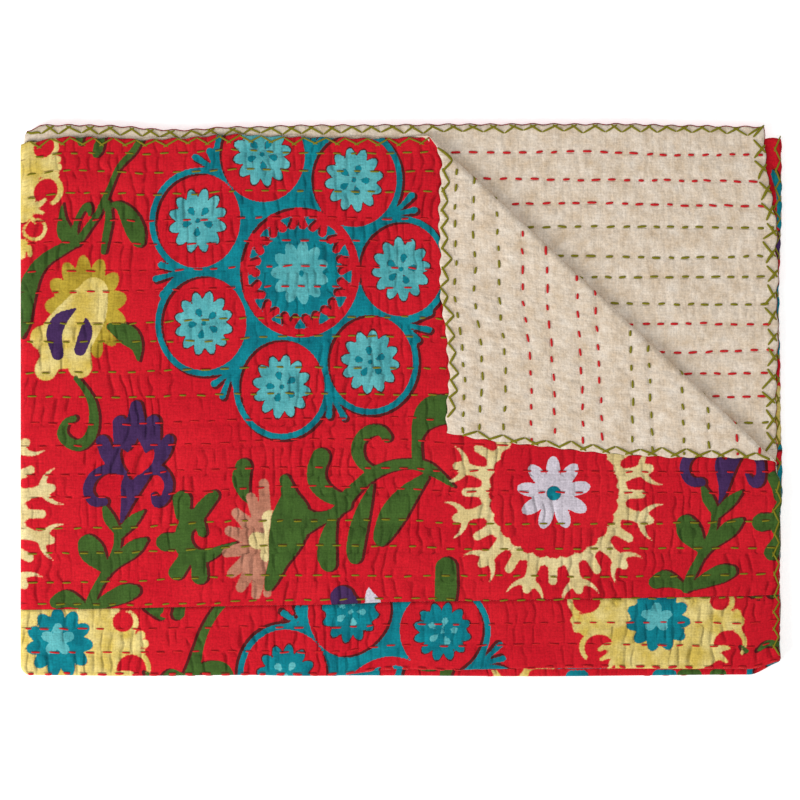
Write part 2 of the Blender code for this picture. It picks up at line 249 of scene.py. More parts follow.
# %% The rows and their wander
# how far each row lies from the long hem of its layers, in mm
GREEN_ROWS_TOP = (17.5, 38.5, 65, 217, 239, 274, 303, 454, 483.5, 516, 544)
RED_ROWS_TOP = (95.5, 123.5, 156, 179.5, 334.5, 361, 392.5, 417, 573, 600, 627)
GREEN_ROWS_NEXT = (119, 151.5, 176, 207, 347, 376, 406, 436, 584, 612)
RED_ROWS_NEXT = (32.6, 63, 92, 232, 262, 288, 316, 466, 495, 525, 554)
ROWS = sorted(
    [(TOP_DEPTH - d / 1000, "green") for d in GREEN_ROWS_TOP]
    + [(TOP_DEPTH - d / 1000, "red") for d in RED_ROWS_TOP]
    + [(d / 1000 - NEXT_DEPTH, "green") for d in GREEN_ROWS_NEXT]
    + [(d / 1000 - NEXT_DEPTH, "red") for d in RED_ROWS_NEXT]
)
ROW_T = np.array([row[0] for row in ROWS])
WANDER, WANDER_RUN = 0.0045, 0.110


def smooth_noise(u, v, seed):
    """Noise from 0 to 1 that is smooth over cells of size 1."""
    table = np.random.default_rng(seed).random((64, 64))
    i, j = np.floor(u).astype(int), np.floor(v).astype(int)
    fu, fv = eased(u - i), eased(v - j)
    a, b = table[i % 64, j % 64], table[(i + 1) % 64, j % 64]
    c, d = table[i % 64, (j + 1) % 64], table[(i + 1) % 64, (j + 1) % 64]
    return (a * (1 - fu) + b * fu) * (1 - fv) + (c * (1 - fu) + d * fu) * fv


# how far the rows of the top stray from their straight line, in mm: one line for each t, in order of s
STRAY_S = np.array((0.000, 0.116, 0.209, 0.267, 0.325, 0.442, 0.512, 0.628, 0.791))
STRAY_T = (0.030, 0.090, 0.171, 0.241, 0.323, 0.416, 0.521, 0.614)
STRAY = (
    (0, 0, 0, 0, 0, 0, 0, 0, 0),
    (-1, 0, 2, 6, 7, 5, 6, 6, 7),
    (-2, 0, 4, 8, 10, 10, 5, 5, 6),
    (0, 1, 6, 9, 9, 9, 3, 2, 2),
    (0, 0, 4, 6, 7, 6, 5, 3, 3),
    (0, 0, 4, 7, 8, 7, 5, 3, 3),
    (0, 0, 1, 2, 3, 2, 0, 0, 0),
    (0, 0, 0, 0, 0, 0, 0, 0, 0),
)
ROW_STRAY = np.array([[np.interp(row_t, STRAY_T, column) for column in zip(*STRAY)] for row_t in ROW_T])
ROW_STRAY = ROW_STRAY / 1000


def row_place(index, s):
    """Where row number index runs at s."""
    wander = smooth_noise(s / WANDER_RUN, np.asarray(index) * 1.7 + 0.3, 5) - 0.5
    after = np.clip(np.searchsorted(STRAY_S, s), 1, len(STRAY_S) - 1)
    share = eased((s - STRAY_S[after - 1]) / (STRAY_S[after] - STRAY_S[after - 1]))
    stray = ROW_STRAY[index, after - 1] * (1 - share) + ROW_STRAY[index, after] * share
    return ROW_T[index] + WANDER * wander + stray


print(len(ROWS), "rows of stitching")

# %% [markdown]
# ## Where each stitch goes
# A running stitch dips in and out, so every row is a line of dashes on the front with the back's dashes in
# the gaps. The needle keeps a rhythm, and the hand slips a little at each stitch. The dashes are placed
# before the cloth is shaped, because each one pulls the cloth in under it.

# %% Dashes of every row
# from stitch to stitch, and the front dash's share of that: on the top, its corner, and the next layers
TOP_PITCH, CORNER_PITCH, NEXT_PITCH = (0.0208, 0.47), (0.0242, 0.54), (0.0185, 0.42)
CORNER_S, CORNER_T = 0.50, 0.26
STEP_SLIP, SHARE_SLIP, NEEDLE = 0.22, 0.18, 0.0006  # how uneven the hand is, and the gap at the needle's hole
hand = np.random.default_rng(77)
ROW_DASHES = []
for row_t, _ in ROWS:
    pitch, share = TOP_PITCH if row_t > 0 else NEXT_PITCH
    start = -HALF + 0.006 + pitch * hand.random()
    front, behind = [], []
    while start < HALF - 0.010:
        if row_t > CORNER_T and start > CORNER_S:
            pitch, share = CORNER_PITCH
        step = pitch * (1 + STEP_SLIP * (hand.random() - 0.5))
        front_end = start + step * (share + SHARE_SLIP * (hand.random() - 0.5))
        front.append((start, min(front_end, HALF - 0.003)))
        behind.append((min(front_end + NEEDLE, HALF - 0.004), min(start + step - NEEDLE, HALF - 0.003)))
        start += step
    ROW_DASHES.append({1: np.array(front), -1: np.array(behind)})
print("dashes a side in all rows:", sum(len(d[1]) for d in ROW_DASHES))


def row_distance(s, t):
    """Signed distance from the nearest row, in metres, and that row's number."""
    after = np.clip(np.searchsorted(ROW_T, t), 1, len(ROW_T) - 1)
    low, high = row_place(after - 1, s), row_place(after, s)
    nearest = np.where(t - low < high - t, after - 1, after)
    return np.where(nearest == after, t - high, t - low), nearest


def stitch_pull(s, t, side):
    """The distance from the nearest row, and how much a dash pulls there, 0 to 1."""
    off, nearest = row_distance(s, t)
    pull = np.zeros(np.shape(s))
    for index in np.unique(nearest):
        here = (nearest == index) & (np.abs(off) < 0.006)
        starts, ends = ROW_DASHES[index][side].T
        stops = np.stack((starts - 0.001, starts + 0.001, ends - 0.001, ends + 0.001), axis=1)
        levels = np.tile((0.0, 1.0, 1.0, 0.0), len(starts))
        pull[here] = np.interp(s[here], np.maximum.accumulate(stops.ravel()), levels)
    return off, pull


# %% [markdown]
# ## The quilted surface
# Between two rows the cloths stand apart a little, and the pulled thread gathers them, so the surface is a
# soft ladder of low puffs with narrow puckers that run across the rows, about 12 mm apart. A texture could
# move the surface too, but a height worked out from the rows puts the valleys exactly where the stitches
# make them. Where the quilt lies on its own print, that face is kept flat and only pressed in.

# %% Height of the surface over the cloth's middle
LOFT, PUCKER, DIMPLE, SWAY = 0.0010, 0.0008, 0.0006, 0.0010  # heights and depths
PUCKER_PITCH, PUCKER_HALF, ROW_HALF = 0.0120, 0.22, 0.0022
PLAIN_SHARE = 0.15  # the plain cloth is stiffer and puckers less
THIN_EDGE, THIN_RUN = 0.60, 0.006  # at the hems the quilt is pressed thinner


def puckers(s, t):
    """A phase that steps by one from pucker to pucker, and how deep the pucker is here, 0 to 1."""
    band = np.searchsorted(ROW_T, t).astype(float)
    off, _ = row_distance(s, t)
    at_row = np.exp(-((off / ROW_HALF) ** 2))
    slip = 0.55 * smooth_noise(s / 0.024, 3.0 * band, 22)
    wobble = 1.5 * smooth_noise(s / 0.060, t / 0.060, 21) + 0.45 * smooth_noise(s / 0.011, t / 0.012, 25)
    depth = eased(3.4 * smooth_noise(s / 0.0125, 3.0 * band + 1.0, 12) - 0.95)
    patch = eased(2.6 * smooth_noise(s / 0.110, t / 0.090, 23) - 0.40)
    broken = eased(2.6 * smooth_noise(s / 0.010, t / 0.016, 26) - 0.25)
    return s / PUCKER_PITCH + slip + wobble, depth * (0.5 + 0.5 * patch) * broken * (1 - 0.7 * at_row)


def quilted_height(s, t, side):
    """Height of a cloth's outer face, from the puffs, puckers and dimples."""
    after = np.clip(np.searchsorted(ROW_T, t), 1, len(ROW_T) - 1)
    low, high = row_place(after - 1, s), row_place(after, s)
    share = np.clip((t - low) / (high - low), 0.0, 1.0)
    puff = np.sin(pi * share) ** 0.8
    puff = np.where((t < ROW_T[0]) | (t > ROW_T[-1]), 0.4, puff)
    phase, depth = puckers(s, t)
    away = np.abs(phase - np.round(phase))
    strength = 1.0 if side > 0 else PLAIN_SHARE
    pucker = np.exp(-((away / PUCKER_HALF) ** 2)) * depth * strength
    billow = 0.95 - 0.25 * np.cos(tau * phase) * depth * strength
    off, pull = stitch_pull(s, t, side)
    dimple = pull * np.exp(-((off / ROW_HALF) ** 2)) * (side > 0)
    sway = smooth_noise(s / 0.045, t / 0.065, 13) - 0.5
    height = OUTER + LOFT * puff * billow * (0.7 + 0.6 * smooth_noise(s / 0.028, t / 0.030, 14))
    height = height - PUCKER * pucker - DIMPLE * dimple + SWAY * sway
    low_edge = eased((np.abs(t) - BOTTOM_RUN) / 0.010) * eased((np.abs(s) - LEFT_RUN) / 0.010)
    height = OUTER + (height - OUTER) * low_edge
    under = OUTER - (0.0006 * (1 - puff) + 0.4 * PUCKER * pucker + DIMPLE * dimple) * low_edge
    flat = (s < LEFT_RUN) & (t > BOTTOM_RUN) & (side > 0)
    return np.where(flat, np.minimum(under, OUTER), height)


def hem_thinness(s, t):
    edge = np.minimum(HALF - np.abs(s), np.minimum(TOP_DEPTH - t, NEXT_DEPTH + t))
    return THIN_EDGE + (1 - THIN_EDGE) * eased(edge / THIN_RUN)


def surface(s, t, side):
    """Signed height w of the outer face: side is 1 for the print and -1 for the back cloth."""
    high = CLOTH_GAP / 2 + (quilted_height(s, t, side) - CLOTH_GAP / 2) * hem_thinness(s, t)
    return side * high


# %% [markdown]
# ## Meshes for the cloths
# A cloth starts as a grid of cells of about 19 mm. Cells that show are then cut in four, three times over,
# to about 2.3 mm, which is enough for the puckers and the print's edges, and hidden cells stay large. The
# crease is cut once more. The hems get a thin rim by extruding the outline inwards, so the cloth has an
# edge. They waver between stitches, and the two cloths don't end quite together: at the top hem the back
# peeps out white. UVs keep each point's flat place, in metres.

# %% Grid, cells cut where they show, and a rim
CELL = 0.0187


def lines_between(start, end):
    """Grid lines from start to end, about one cell apart."""
    count = max(1, round((end - start) / CELL))
    return [start] + [start + (end - start) * (k + 1) / count for k in range(count)]


def flat_skin(s_lines, t_lines, wanted, levels):
    """A flat bmesh with its cells cut as often as wanted(s, t) says. The rim's inner points get z = -1."""
    skin = bmesh.new()
    wide, deep = len(s_lines) - 1, len(t_lines) - 1
    bmesh.ops.create_grid(skin, x_segments=wide, y_segments=deep, size=0.5)
    for v in skin.verts:
        i, j = round((v.co.x + 0.5) * wide), round((v.co.y + 0.5) * deep)
        v.co = (s_lines[i], t_lines[j] if not callable(t_lines[j]) else t_lines[j](s_lines[i]), 0.0)
    for level in range(levels):
        faces = [f for f in skin.faces if len(f.verts) == 4]
        middle = np.array([f.calc_center_median()[:2] for f in faces])
        chosen = np.nonzero(wanted(middle[:, 0], middle[:, 1]) > level)[0]
        edges = list(dict.fromkeys(e for k in chosen for e in faces[k].edges))
        bmesh.ops.subdivide_edges(skin, edges=edges, cuts=1, use_grid_fill=True)
    outline = [e for e in skin.edges if e.is_boundary]
    made = bmesh.ops.extrude_edge_only(skin, edges=outline)["geom"]
    for v in made:
        if isinstance(v, bmesh.types.BMVert):
            v.co.z = -1.0
    return skin


# %% Hems that waver, and the folded cloth as an object
HEM_PITCH, HEM_DEEP = 0.0246, 0.0085
HEM_SWING, HEM_UNEVEN, HEM_RUN = 0.0009, 0.0012, 0.008
PEEP, TUCK, NEXT_OUT, FULLER = 0.0016, 0.0003, 0.0009, 0.0014  # how far one cloth's edge stands out or in


def scallops(s, t, side):
    """Hems are drawn in at each hem stitch and stand out between them."""
    wave_s, wave_t = np.sin(s / HEM_PITCH * tau), np.sin(t / HEM_PITCH * tau)
    wobble = HEM_SWING * wave_s + HEM_UNEVEN * (smooth_noise(s / 0.031, t / 0.031, 31) - 0.5)
    wobble_side = HEM_SWING * wave_t + HEM_UNEVEN * (smooth_noise(s / 0.029, t / 0.029, 32) - 0.5)
    peep = np.abs(np.sin(pi * s / HEM_PITCH)) * (0.2 + 1.6 * smooth_noise(s / 0.070, t / 0.5, 33))
    extra_top = PEEP * peep if side < 0 else -TUCK
    extra_next = -TUCK if side < 0 else NEXT_OUT
    at_top, at_next = near_edge(TOP_DEPTH - t, HEM_RUN), near_edge(NEXT_DEPTH + t, HEM_RUN)
    at_side = near_edge(HALF - np.abs(s), HEM_RUN)
    fuller = FULLER * eased((0.54 - np.abs(t)) / 0.07) * ((t < 0) & (s > 0))
    s = s + np.sign(s) * at_side * (wobble_side + np.where(t > 0, extra_top, extra_next) * 0.7 + fuller)
    t = t + at_top * (wobble + extra_top) - at_next * (wobble + extra_next)
    return s, t


def keep_places(mesh, name, places):
    """Keeps a two-number place for each vertex as a UV map."""
    corner_vertex = np.empty(len(mesh.loops), dtype=np.int32)
    mesh.loops.foreach_get("vertex_index", corner_vertex)
    layer = mesh.uv_layers.new(name=name)
    layer.uv.foreach_set("vector", places[corner_vertex].astype(np.float32).ravel())


def keep_values(mesh, values):
    """Keeps numbers for each vertex as attributes."""
    for name, numbers in values.items():
        mesh.attributes.new(name, "FLOAT", "POINT").data.foreach_set("value", numbers.astype(np.float32))


def as_piece(name, data):
    """An object of a mesh, a light or a camera, in the scene."""
    piece = bpy.data.objects.new(name, data)
    bpy.context.collection.objects.link(piece)
    return piece


def fold_cloth(skin, name, side):
    """Turns the flat bmesh into a folded mesh object with its flat places as a UV map."""
    if side < 0:
        bmesh.ops.reverse_faces(skin, faces=skin.faces[:])
    mesh = bpy.data.meshes.new(name)
    skin.to_mesh(mesh)
    skin.free()
    flat = np.empty(len(mesh.vertices) * 3)
    mesh.vertices.foreach_get("co", flat)
    s, t, inner = flat.reshape(-1, 3).T
    keep_places(mesh, "cloth", np.stack((s, t), axis=-1))
    w = np.where(inner < 0, side * CLOTH_GAP / 2, surface(s, t, side))
    place = folded(*scallops(s, t, side), w)
    mesh.vertices.foreach_set("co", place.astype(np.float32).ravel())
    off, pull = stitch_pull(s, t, side)
    phase, depth = puckers(s, t)
    keep_values(mesh, {"row_off": off * 1000, "row_near": np.abs(off) * 1000, "stitch": pull})
    keep_values(mesh, {"pucker": phase, "pucker_depth": depth})
    mesh.shade_smooth()
    mesh.update()
    print(name, "triangles:", sum(len(p.vertices) - 2 for p in mesh.polygons))
    return as_piece(name, mesh), s, t


# %% [markdown]
# ## Which cells show
# From above: the printed quarter outside the turned corner, the plain side of that corner, and the plain
# quarter under it. The underside shows the last printed quarter, at half the fineness. The rest lies
# between layers.

# %% Fineness by place
WHOLE, LARGE, MEDIUM, SMALL, SMALLEST = range(5)  # how often a cell is cut


def under_flap(s, t, room):
    """On the top quarter, the triangle that the turned corner covers, room inside its outline."""
    tip, start, end = TIP_LANDS, CREASE_START, CREASE_END
    inside = np.full(np.shape(s), True)
    for a, b, c in ((start, end, tip), (end, tip, start), (tip, start, end)):
        edge = (b - a) / np.linalg.norm(b - a)
        across = np.array((-edge[1], edge[0]))
        if (c - a) @ across < 0:
            across = -across
        inside &= (s - a[0]) * across[0] + (t - a[1]) * across[1] > room
    return inside


def print_fineness(s, t):
    top = np.where(beyond_crease(s, t) > 0.014, WHOLE, np.where(under_flap(s, t, 0.022), LARGE, SMALL))
    top = np.where(s < -0.020, MEDIUM, top)
    next_down = np.where((s > 0) | (t < -0.03), WHOLE, MEDIUM)
    next_down = np.where(t > -0.024, SMALL, next_down)
    next_down = np.where(np.abs(s) > HALF - 0.030, MEDIUM, next_down)
    next_down = np.where(t < -NEXT_DEPTH + 0.022, MEDIUM, next_down)
    return np.where(t > 0, top, next_down)


def back_fineness(s, t):
    past = beyond_crease(s, t)
    top = np.where(past > -0.010, SMALL, WHOLE)
    top = np.where((past > -0.006) & (past < 0.020), SMALLEST, top)
    next_down = np.where((beyond_crease(s, -t) > -0.025) | (-t > NEXT_DEPTH - 0.050), SMALL, WHOLE)
    both = np.where(t > 0, top, next_down)
    return np.where(s < 0, np.where(np.abs(s) > HALF - 0.02, LARGE, WHOLE), both)


# %% [markdown]
# ## The three cloths
# The front is two widths of printed cotton joined by a seam near the bottom fold, and the back is one
# piece.


# %% The cloth pieces
def above_seam(s):
    return SEAM_HEIGHT + SEAM_SLOPE * s + CLOTH_GAP / 2


def below_seam(s):
    return SEAM_HEIGHT + SEAM_SLOPE * s - CLOTH_GAP / 2


s_lines = lines_between(-HALF, -LEFT_RUN) + lines_between(LEFT_RUN, HALF)
next_lines = lines_between(-NEXT_DEPTH, -BOTTOM_RUN)
upper_lines = [above_seam] + lines_between(0.108, TOP_DEPTH)
lower_lines = next_lines + lines_between(BOTTOM_RUN, 0.046) + [below_seam]
back_lines = next_lines + lines_between(BOTTOM_RUN, TOP_DEPTH)
upper_skin = flat_skin(s_lines, upper_lines, print_fineness, SMALL)
upper_panel, upper_s, upper_t = fold_cloth(upper_skin, "front_upper_panel_cloth", 1)
lower_skin = flat_skin(s_lines, lower_lines, print_fineness, SMALL)
lower_panel, lower_s, lower_t = fold_cloth(lower_skin, "front_lower_panel_cloth", 1)
back_skin = flat_skin(s_lines, back_lines, back_fineness, SMALLEST)
back, _, _ = fold_cloth(back_skin, "back_cloth_plain", -1)

# %% [markdown]
# ## The print: shapes as distances
# The real print is block or screen printed, one ink after another: dark shadows first, then teal, green and
# the pale inks. Painting it by hand in Blender would work, but here each motif is a formula: for every
# point it gives how far inside the shape's edge that point lies, in millimetres. The motifs are of the old
# suzani and block-print kind, rosettes in rings, suns, vines and tulips, in about the places the photo has
# them, drawn afresh.

# %% Inks, and shapes as distances in millimetres
INKS = ("maroon", "teal", "green", "mustard", "rose", "pale", "yellow", "lavender", "light_teal", "purple")
OUTSIDE, NEAR, SHADED = -9.0, 4.0, ("teal", "green", "purple")


# a shape is the box round it, and the function that gives the distance inside its edge
def disc(s, t, r, tall=1.0):
    return (s - r, t - r * tall, s + r, t + r * tall), lambda x, y: r - np.hypot(x - s, (y - t) / tall)


def rosette(s, t, r, petals, deep=0.25, turn=0.0, tall=1.0):
    """A round of petals: the outline swings in and out with the angle."""

    def value(x, y):
        angle = np.arctan2((y - t) / tall, x - s)
        edge = r * (1 - deep + deep * np.abs(np.cos(petals * (angle - turn) / 2)) ** 0.8)
        return (edge - np.hypot(x - s, (y - t) / tall)) * 0.85

    return (s - r, t - r * tall, s + r, t + r * tall), value


def stroke(*knots):
    """A brush stroke through knots (s, t, half width), on a smooth curve."""
    k = np.array(knots, float)
    ends = np.vstack((2 * k[0] - k[1], k, 2 * k[-1] - k[-2]))
    line = [k[0]]
    for a, b, c, d in zip(ends, ends[1:], ends[2:], ends[3:]):
        square, cube = 2 * a - 5 * b + 4 * c - d, 3 * b - a - 3 * c + d
        line += [0.5 * (2 * b + (c - a) * f + square * f**2 + cube * f**3) for f in (0.25, 0.5, 0.75, 1.0)]
    line = np.array(line)
    line[:, 2] = np.maximum(line[:, 2], 0.2)

    def value(x, y):
        best = np.full(np.shape(x), OUTSIDE)
        for a, b in zip(line, line[1:]):
            run = b[:2] - a[:2]
            f = np.clip(((x - a[0]) * run[0] + (y - a[1]) * run[1]) / max(run @ run, 1e-6), 0, 1)
            away = np.hypot(x - a[0] - run[0] * f, y - a[1] - run[1] * f)
            best = np.maximum(best, a[2] + (b[2] - a[2]) * f - away)
        return best

    low, high = (line[:, :2] - line[:, 2:]).min(axis=0), (line[:, :2] + line[:, 2:]).max(axis=0)
    return (*low, *high), value


def drop(s, t, angle, near, far, wide):
    """A teardrop that points in towards (s, t)."""
    c, d = cos(angle), sin(angle)
    return stroke((s + near * c, t + near * d, 0.3), (s + far * c, t + far * d, wide))


# shapes made of other shapes
def without(shape, hole):
    return shape[0], lambda x, y: np.minimum(shape[1](x, y), -hole[1](x, y))


def within(shape, other):
    return shape[0], lambda x, y: np.minimum(shape[1](x, y), other[1](x, y))


def joined(*shapes):
    boxes = np.array([shape[0] for shape in shapes])
    box = (*boxes[:, :2].min(axis=0), *boxes[:, 2:].max(axis=0))
    return box, lambda x, y: np.max([shape[1](x, y) for shape in shapes], axis=0)


def moved(shape, ds, dt):
    box, value = shape
    return (box[0] + ds, box[1] + dt, box[2] + ds, box[3] + dt), lambda x, y: value(x - ds, y - dt)


def grown(shape, more):
    (s0, t0, s1, t1), value = shape
    return (s0 - more, t0 - more, s1 + more, t1 + more), lambda x, y: value(x, y) + more


def blank_print(s, t):
    """A cloth with no ink: places in millimetres, and how far each is inside every ink."""
    return {"s": s * 1000, "t": t * 1000, **{ink: np.full(len(s), OUTSIDE) for ink in INKS}}


def lay_ink(cloth, ink, shape, clears=True):
    """Prints a shape in one ink, or bares the red ground where ink is None."""
    (s0, t0, s1, t1), value = shape
    s, t = cloth["s"], cloth["t"]
    near = np.nonzero((s > s0 - NEAR) & (s < s1 + NEAR) & (t > t0 - NEAR) & (t < t1 + NEAR))[0]
    if not len(near):
        return
    depth = value(s[near], t[near])
    if ink:
        cloth[ink][near] = np.maximum(cloth[ink][near], depth)
    if clears:
        for other in INKS[INKS.index(ink) + 1 if ink else 0 :]:
            cloth[other][near] = np.minimum(cloth[other][near], -depth)


def inked(ink, *shapes):
    """Parts of a motif in one ink, or in place of it bare, hole (bare and shaded) or outline (dark)."""
    return [(ink, shape) for shape in shapes]


def strokes(ink, *lines):
    """Brush strokes in one ink, each given by its knots."""
    return inked(ink, *[stroke(*knots) for knots in lines])


def stamp(cloth, motif, shadow, at=(0.0, 0.0)):
    """Prints a motif, a list of (ink, shape): the dark shadows first, then the shapes in their order."""
    for ink, shape in motif:
        if ink in SHADED:
            dark = grown(moved(shape, at[0] + shadow[0] * 0.75, at[1] + shadow[1] * 0.75), 1.1)
            lay_ink(cloth, "maroon", dark, clears=False)
    for ink, shape in motif:
        here = moved(shape, *at)
        lay_ink(cloth, ink if ink in INKS else None, here)
        if ink == "outline":
            lay_ink(cloth, "maroon", here)
        elif ink == "hole":
            lay_ink(cloth, "maroon", without(here, moved(here, *shadow)), clears=False)


print(len(INKS), "inks over the red ground")

# %% [markdown]
# ## Medallions and suns
# A medallion is a wheel of rosettes in red holes on a teal ground, a form found on Uzbek suzani embroidery.
# A sun is a scalloped ring with forked rays. Both come from circles repeated round a centre, so a loop
# draws them.


# %% Medallion, flower and sun
TALL = 1.10  # the stitches gather the cloth along its rows, so circles stand a little taller than wide
HORNS, RAYS = 13, 12
WHEEL = ((118, 4), (63, 108), (-44, 135), (-119, 60), (-112, -59), (-21, -133), (82, -104))


def flower(s, t, r, petals, turn, dark, light):
    """A rosette with a dark outline, a dot and small drops round it."""
    parts = [
        ("outline", grown(rosette(s, t, r, petals, 0.32, turn, TALL), 1.5)),
        (light, rosette(s, t, r, petals, 0.32, turn, TALL)),
    ]
    for k in range(5):
        parts.append((dark, drop(s, t, turn + tau * k / 5, r * 0.20, r * 0.42, r * 0.125)))
    parts.append((dark, disc(s, t, r * 0.09)))
    return parts


def sprig(s, t, angle, size):
    """Three or four short fingers that spread from one root."""
    parts = []
    for lean, reach in ((-0.95, 0.85), (-0.35, 0.80), (0.25, 0.95), (0.90, 1.0)):
        a, b = angle + lean * 0.55, angle + lean
        mid_s, mid_t = s + 0.5 * size * cos(a), t + 0.5 * size * sin(a)
        tip_s, tip_t = mid_s + (reach - 0.42) * size * cos(b), mid_t + (reach - 0.42) * size * sin(b)
        parts.append(("teal", stroke((s, t, 4.0), (mid_s, mid_t, 2.6), (tip_s, tip_t, 3.9))))
    return parts


def medallion(s, t, flower_inks, turn):
    parts = [("teal", disc(s, t, 116.5, TALL))]
    for ds, dt in WHEEL:
        parts.append(("teal", disc(s + ds, t + dt, 56.5, 1.09)))
    for (ds, dt), (es, et) in zip(WHEEL, WHEEL[1:] + WHEEL[:1]):
        mid_s, mid_t = (ds + es) / 2, (dt + et) / 2
        angle = float(np.arctan2(mid_t, mid_s))
        parts += strokes("teal", ((s + mid_s, t + mid_t, 12.0), (s + mid_s * 1.14, t + mid_t * 1.14, 5.0)))
        parts += sprig(s + mid_s * 1.12, t + mid_t * 1.12, angle, 38.4)
    for k, (ds, dt) in enumerate(WHEEL):
        parts.append(("hole", disc(s + ds, t + dt, 49.7, TALL)))
        parts += flower(s + ds, t + dt, 33.8, 12, turn + 1.1 * k, *flower_inks)
    parts.append(("hole", disc(s, t, 69.9, 1.08)))
    parts.append(("teal", disc(s, t, 60.6, 1.08)))

    def at(radius, angle, half_width):
        return s + radius * cos(angle), t + radius * sin(angle) * 1.08, half_width

    horns = []
    for k in range(HORNS):
        for lean in (-1, 1):
            a = tau * k / HORNS + 0.15
            curve = ((66.4, 0.035, 3.2), (57.1, 0.06, 3.3), (50.1, 0.125, 3.4))
            horns.append(stroke(*[at(radius, a + turned * lean, half) for radius, turned, half in curve]))
    inner = disc(s, t, 59.4, 1.08)
    parts += inked("outline", *[within(grown(moved(horn, -1.2, 1.0), 1.7), inner) for horn in horns])
    parts += inked("bare", *horns)
    parts += flower(s, t, 33.8, 11, 0.3, *flower_inks)[1:2]
    parts.append((flower_inks[0], disc(s + 2, t - 1, 3, 1.3)))
    return parts


def sun(s, t):
    parts = [("pale", rosette(s, t, 87.4, 24, 0.04)), ("bare", rosette(s, t, 76.9, 28, 0.05))]

    def at(radius, angle, half_width):
        return s + radius * cos(angle), t + radius * sin(angle), half_width

    for k in range(RAYS):
        a = 0.25 + tau * k / RAYS
        b = a + pi / RAYS
        parts += strokes("pale", (at(83.9, a, 8.0), at(97.9, a, 6.0), at(108.3, a, 7.5), at(117.7, a, 4.5)))
        for lean in (-1, 1):
            arm = ((107.2, 0.0, 5.0), (110.7, 0.09, 3.5), (118.8, 0.15, 1.8), (128.2, 0.17, 0.5))
            parts += strokes("pale", [at(radius, a + turned * lean, half) for radius, turned, half in arm])
        parts += strokes("pale", (at(81.5, b, 6.0), at(93.2, b, 5.0), at(102.5, b, 4.8)))
    parts += [("lavender", rosette(s, t, 43.1, 9, 0.52, 0.2)), ("teal", disc(s, t, 8.7))]
    return parts


# %% [markdown]
# ## Flowers, leaves and vines
# These are brush strokes: a few knots with a half width each, joined by a smooth curve. A leaf is a short
# stroke that swells, a tulip is a handful of them, and a curl is a long thin one.

# %% Vine and plant strokes
VINE = strokes("green",
    ((139, 628, 3.5), (129, 612, 3.5), (113, 593, 2.9), (104, 572, 2.9), (97, 556, 3.5), (89, 539, 3.5),
     (78, 523, 4.1), (67, 509, 4.7), (48, 498, 6.4), (29, 487, 7.6), (17, 474, 8.7), (10, 456, 9.3),
     (6, 433, 8.2), (5, 414, 5.8), (2, 395, 1.2)),
    ((101, 552, 3.5), (102, 532, 4.1), (99, 514, 4.1), (96, 495, 2.9)),
    ((105, 551, 1.7), (116, 548, 5.8), (126, 536, 10.5), (133, 520, 11.1), (137, 508, 7)),
    ((48, 551, 0.6), (48, 532, 4.7), (52, 516, 9.3), (64, 506, 5.8)),
    ((62, 512, 3.5), (64, 528, 2.9), (71, 543, 2.9), (78, 548, 4.1), (80, 538, 1.7)),
    ((68, 629, 4.7), (69, 620, 2.3)),
    ((95, 633, 3.5), (90, 616, 5.8), (87, 608, 3.5)),
)
STEM_CURL = strokes("green",
    ((104, 408, 4.7), (123, 399, 11.7), (134, 386, 7), (137, 368, 1.2)),
    ((64, 348, 2.9), (75, 334, 3.5), (83, 318, 4.7), (85, 299, 5.8), (81, 281, 6.4), (69, 270, 6.4),
     (56, 273, 6.4), (48, 283, 5.8), (52, 296, 4.1), (62, 301, 3.5)),
)
TULIP = (
    strokes("purple",
        ((134, 315, 7), (134, 299, 10.5), (134, 276, 16.3), (134, 259, 17.5)),
        ((115, 296, 8.2), (117, 276, 9.3), (120, 258, 9.3)),
        ((154, 297, 8.2), (153, 276, 9.3), (151, 258, 9.3)),
        ((95, 274, 7.6), (102, 258, 8.7), (113, 246, 8.2)),
        ((172, 276, 6.4), (165, 262, 8.7), (153, 248, 8.2)),
        ((120, 241, 5.8), (99, 242, 5.2), (84, 233, 5.8), (78, 218, 5.8), (84, 205, 5.8), (97, 204, 4.7)),
        ((148, 241, 5.8), (163, 240, 5.8), (172, 226, 5.2), (168, 209, 5.2), (159, 203, 5.8),
         (154, 212, 2.9)),
        ((139, 237, 11.7), (130, 225, 12.8), (124, 206, 7.6), (117, 181, 1.7)),
    )
    + inked("hole",
        joined(
            stroke((129, 234, 4.1), (132, 246, 9.9), (134, 256, 11.1), (136, 267, 5.2), (136, 277, 0.7)),
            stroke((117, 265, 0.9), (120, 259, 4.7), (125, 249, 7), (129, 241, 5.8)),
            stroke((154, 265, 0.9), (151, 259, 4.7), (145, 251, 7.6), (136, 241, 5.8))),
    )
)
PLANT = strokes("green",
    ((113, 171, 4.7), (111, 150, 4.1), (98, 121, 4.7), (85, 97, 5.2), (78, 79, 5.2)),
    ((98, 196, 3.5), (103, 184, 6.4), (112, 170, 4.7)),
    ((142, 193, 1.7), (129, 181, 6.4), (115, 166, 4.7)),
    ((78, 154, 11.7), (83, 145, 14), (96, 127, 5.8), (101, 118, 2.3)),
    ((144, 159, 3.5), (130, 149, 9.3), (110, 132, 5.8), (99, 119, 3.5)),
    ((78, 79, 2.3), (64, 87, 7), (52, 91, 9.9), (41, 87, 7.6)),
    ((83, 80, 3.5), (101, 89, 8.2), (120, 97, 10.5), (132, 100, 7)),
)
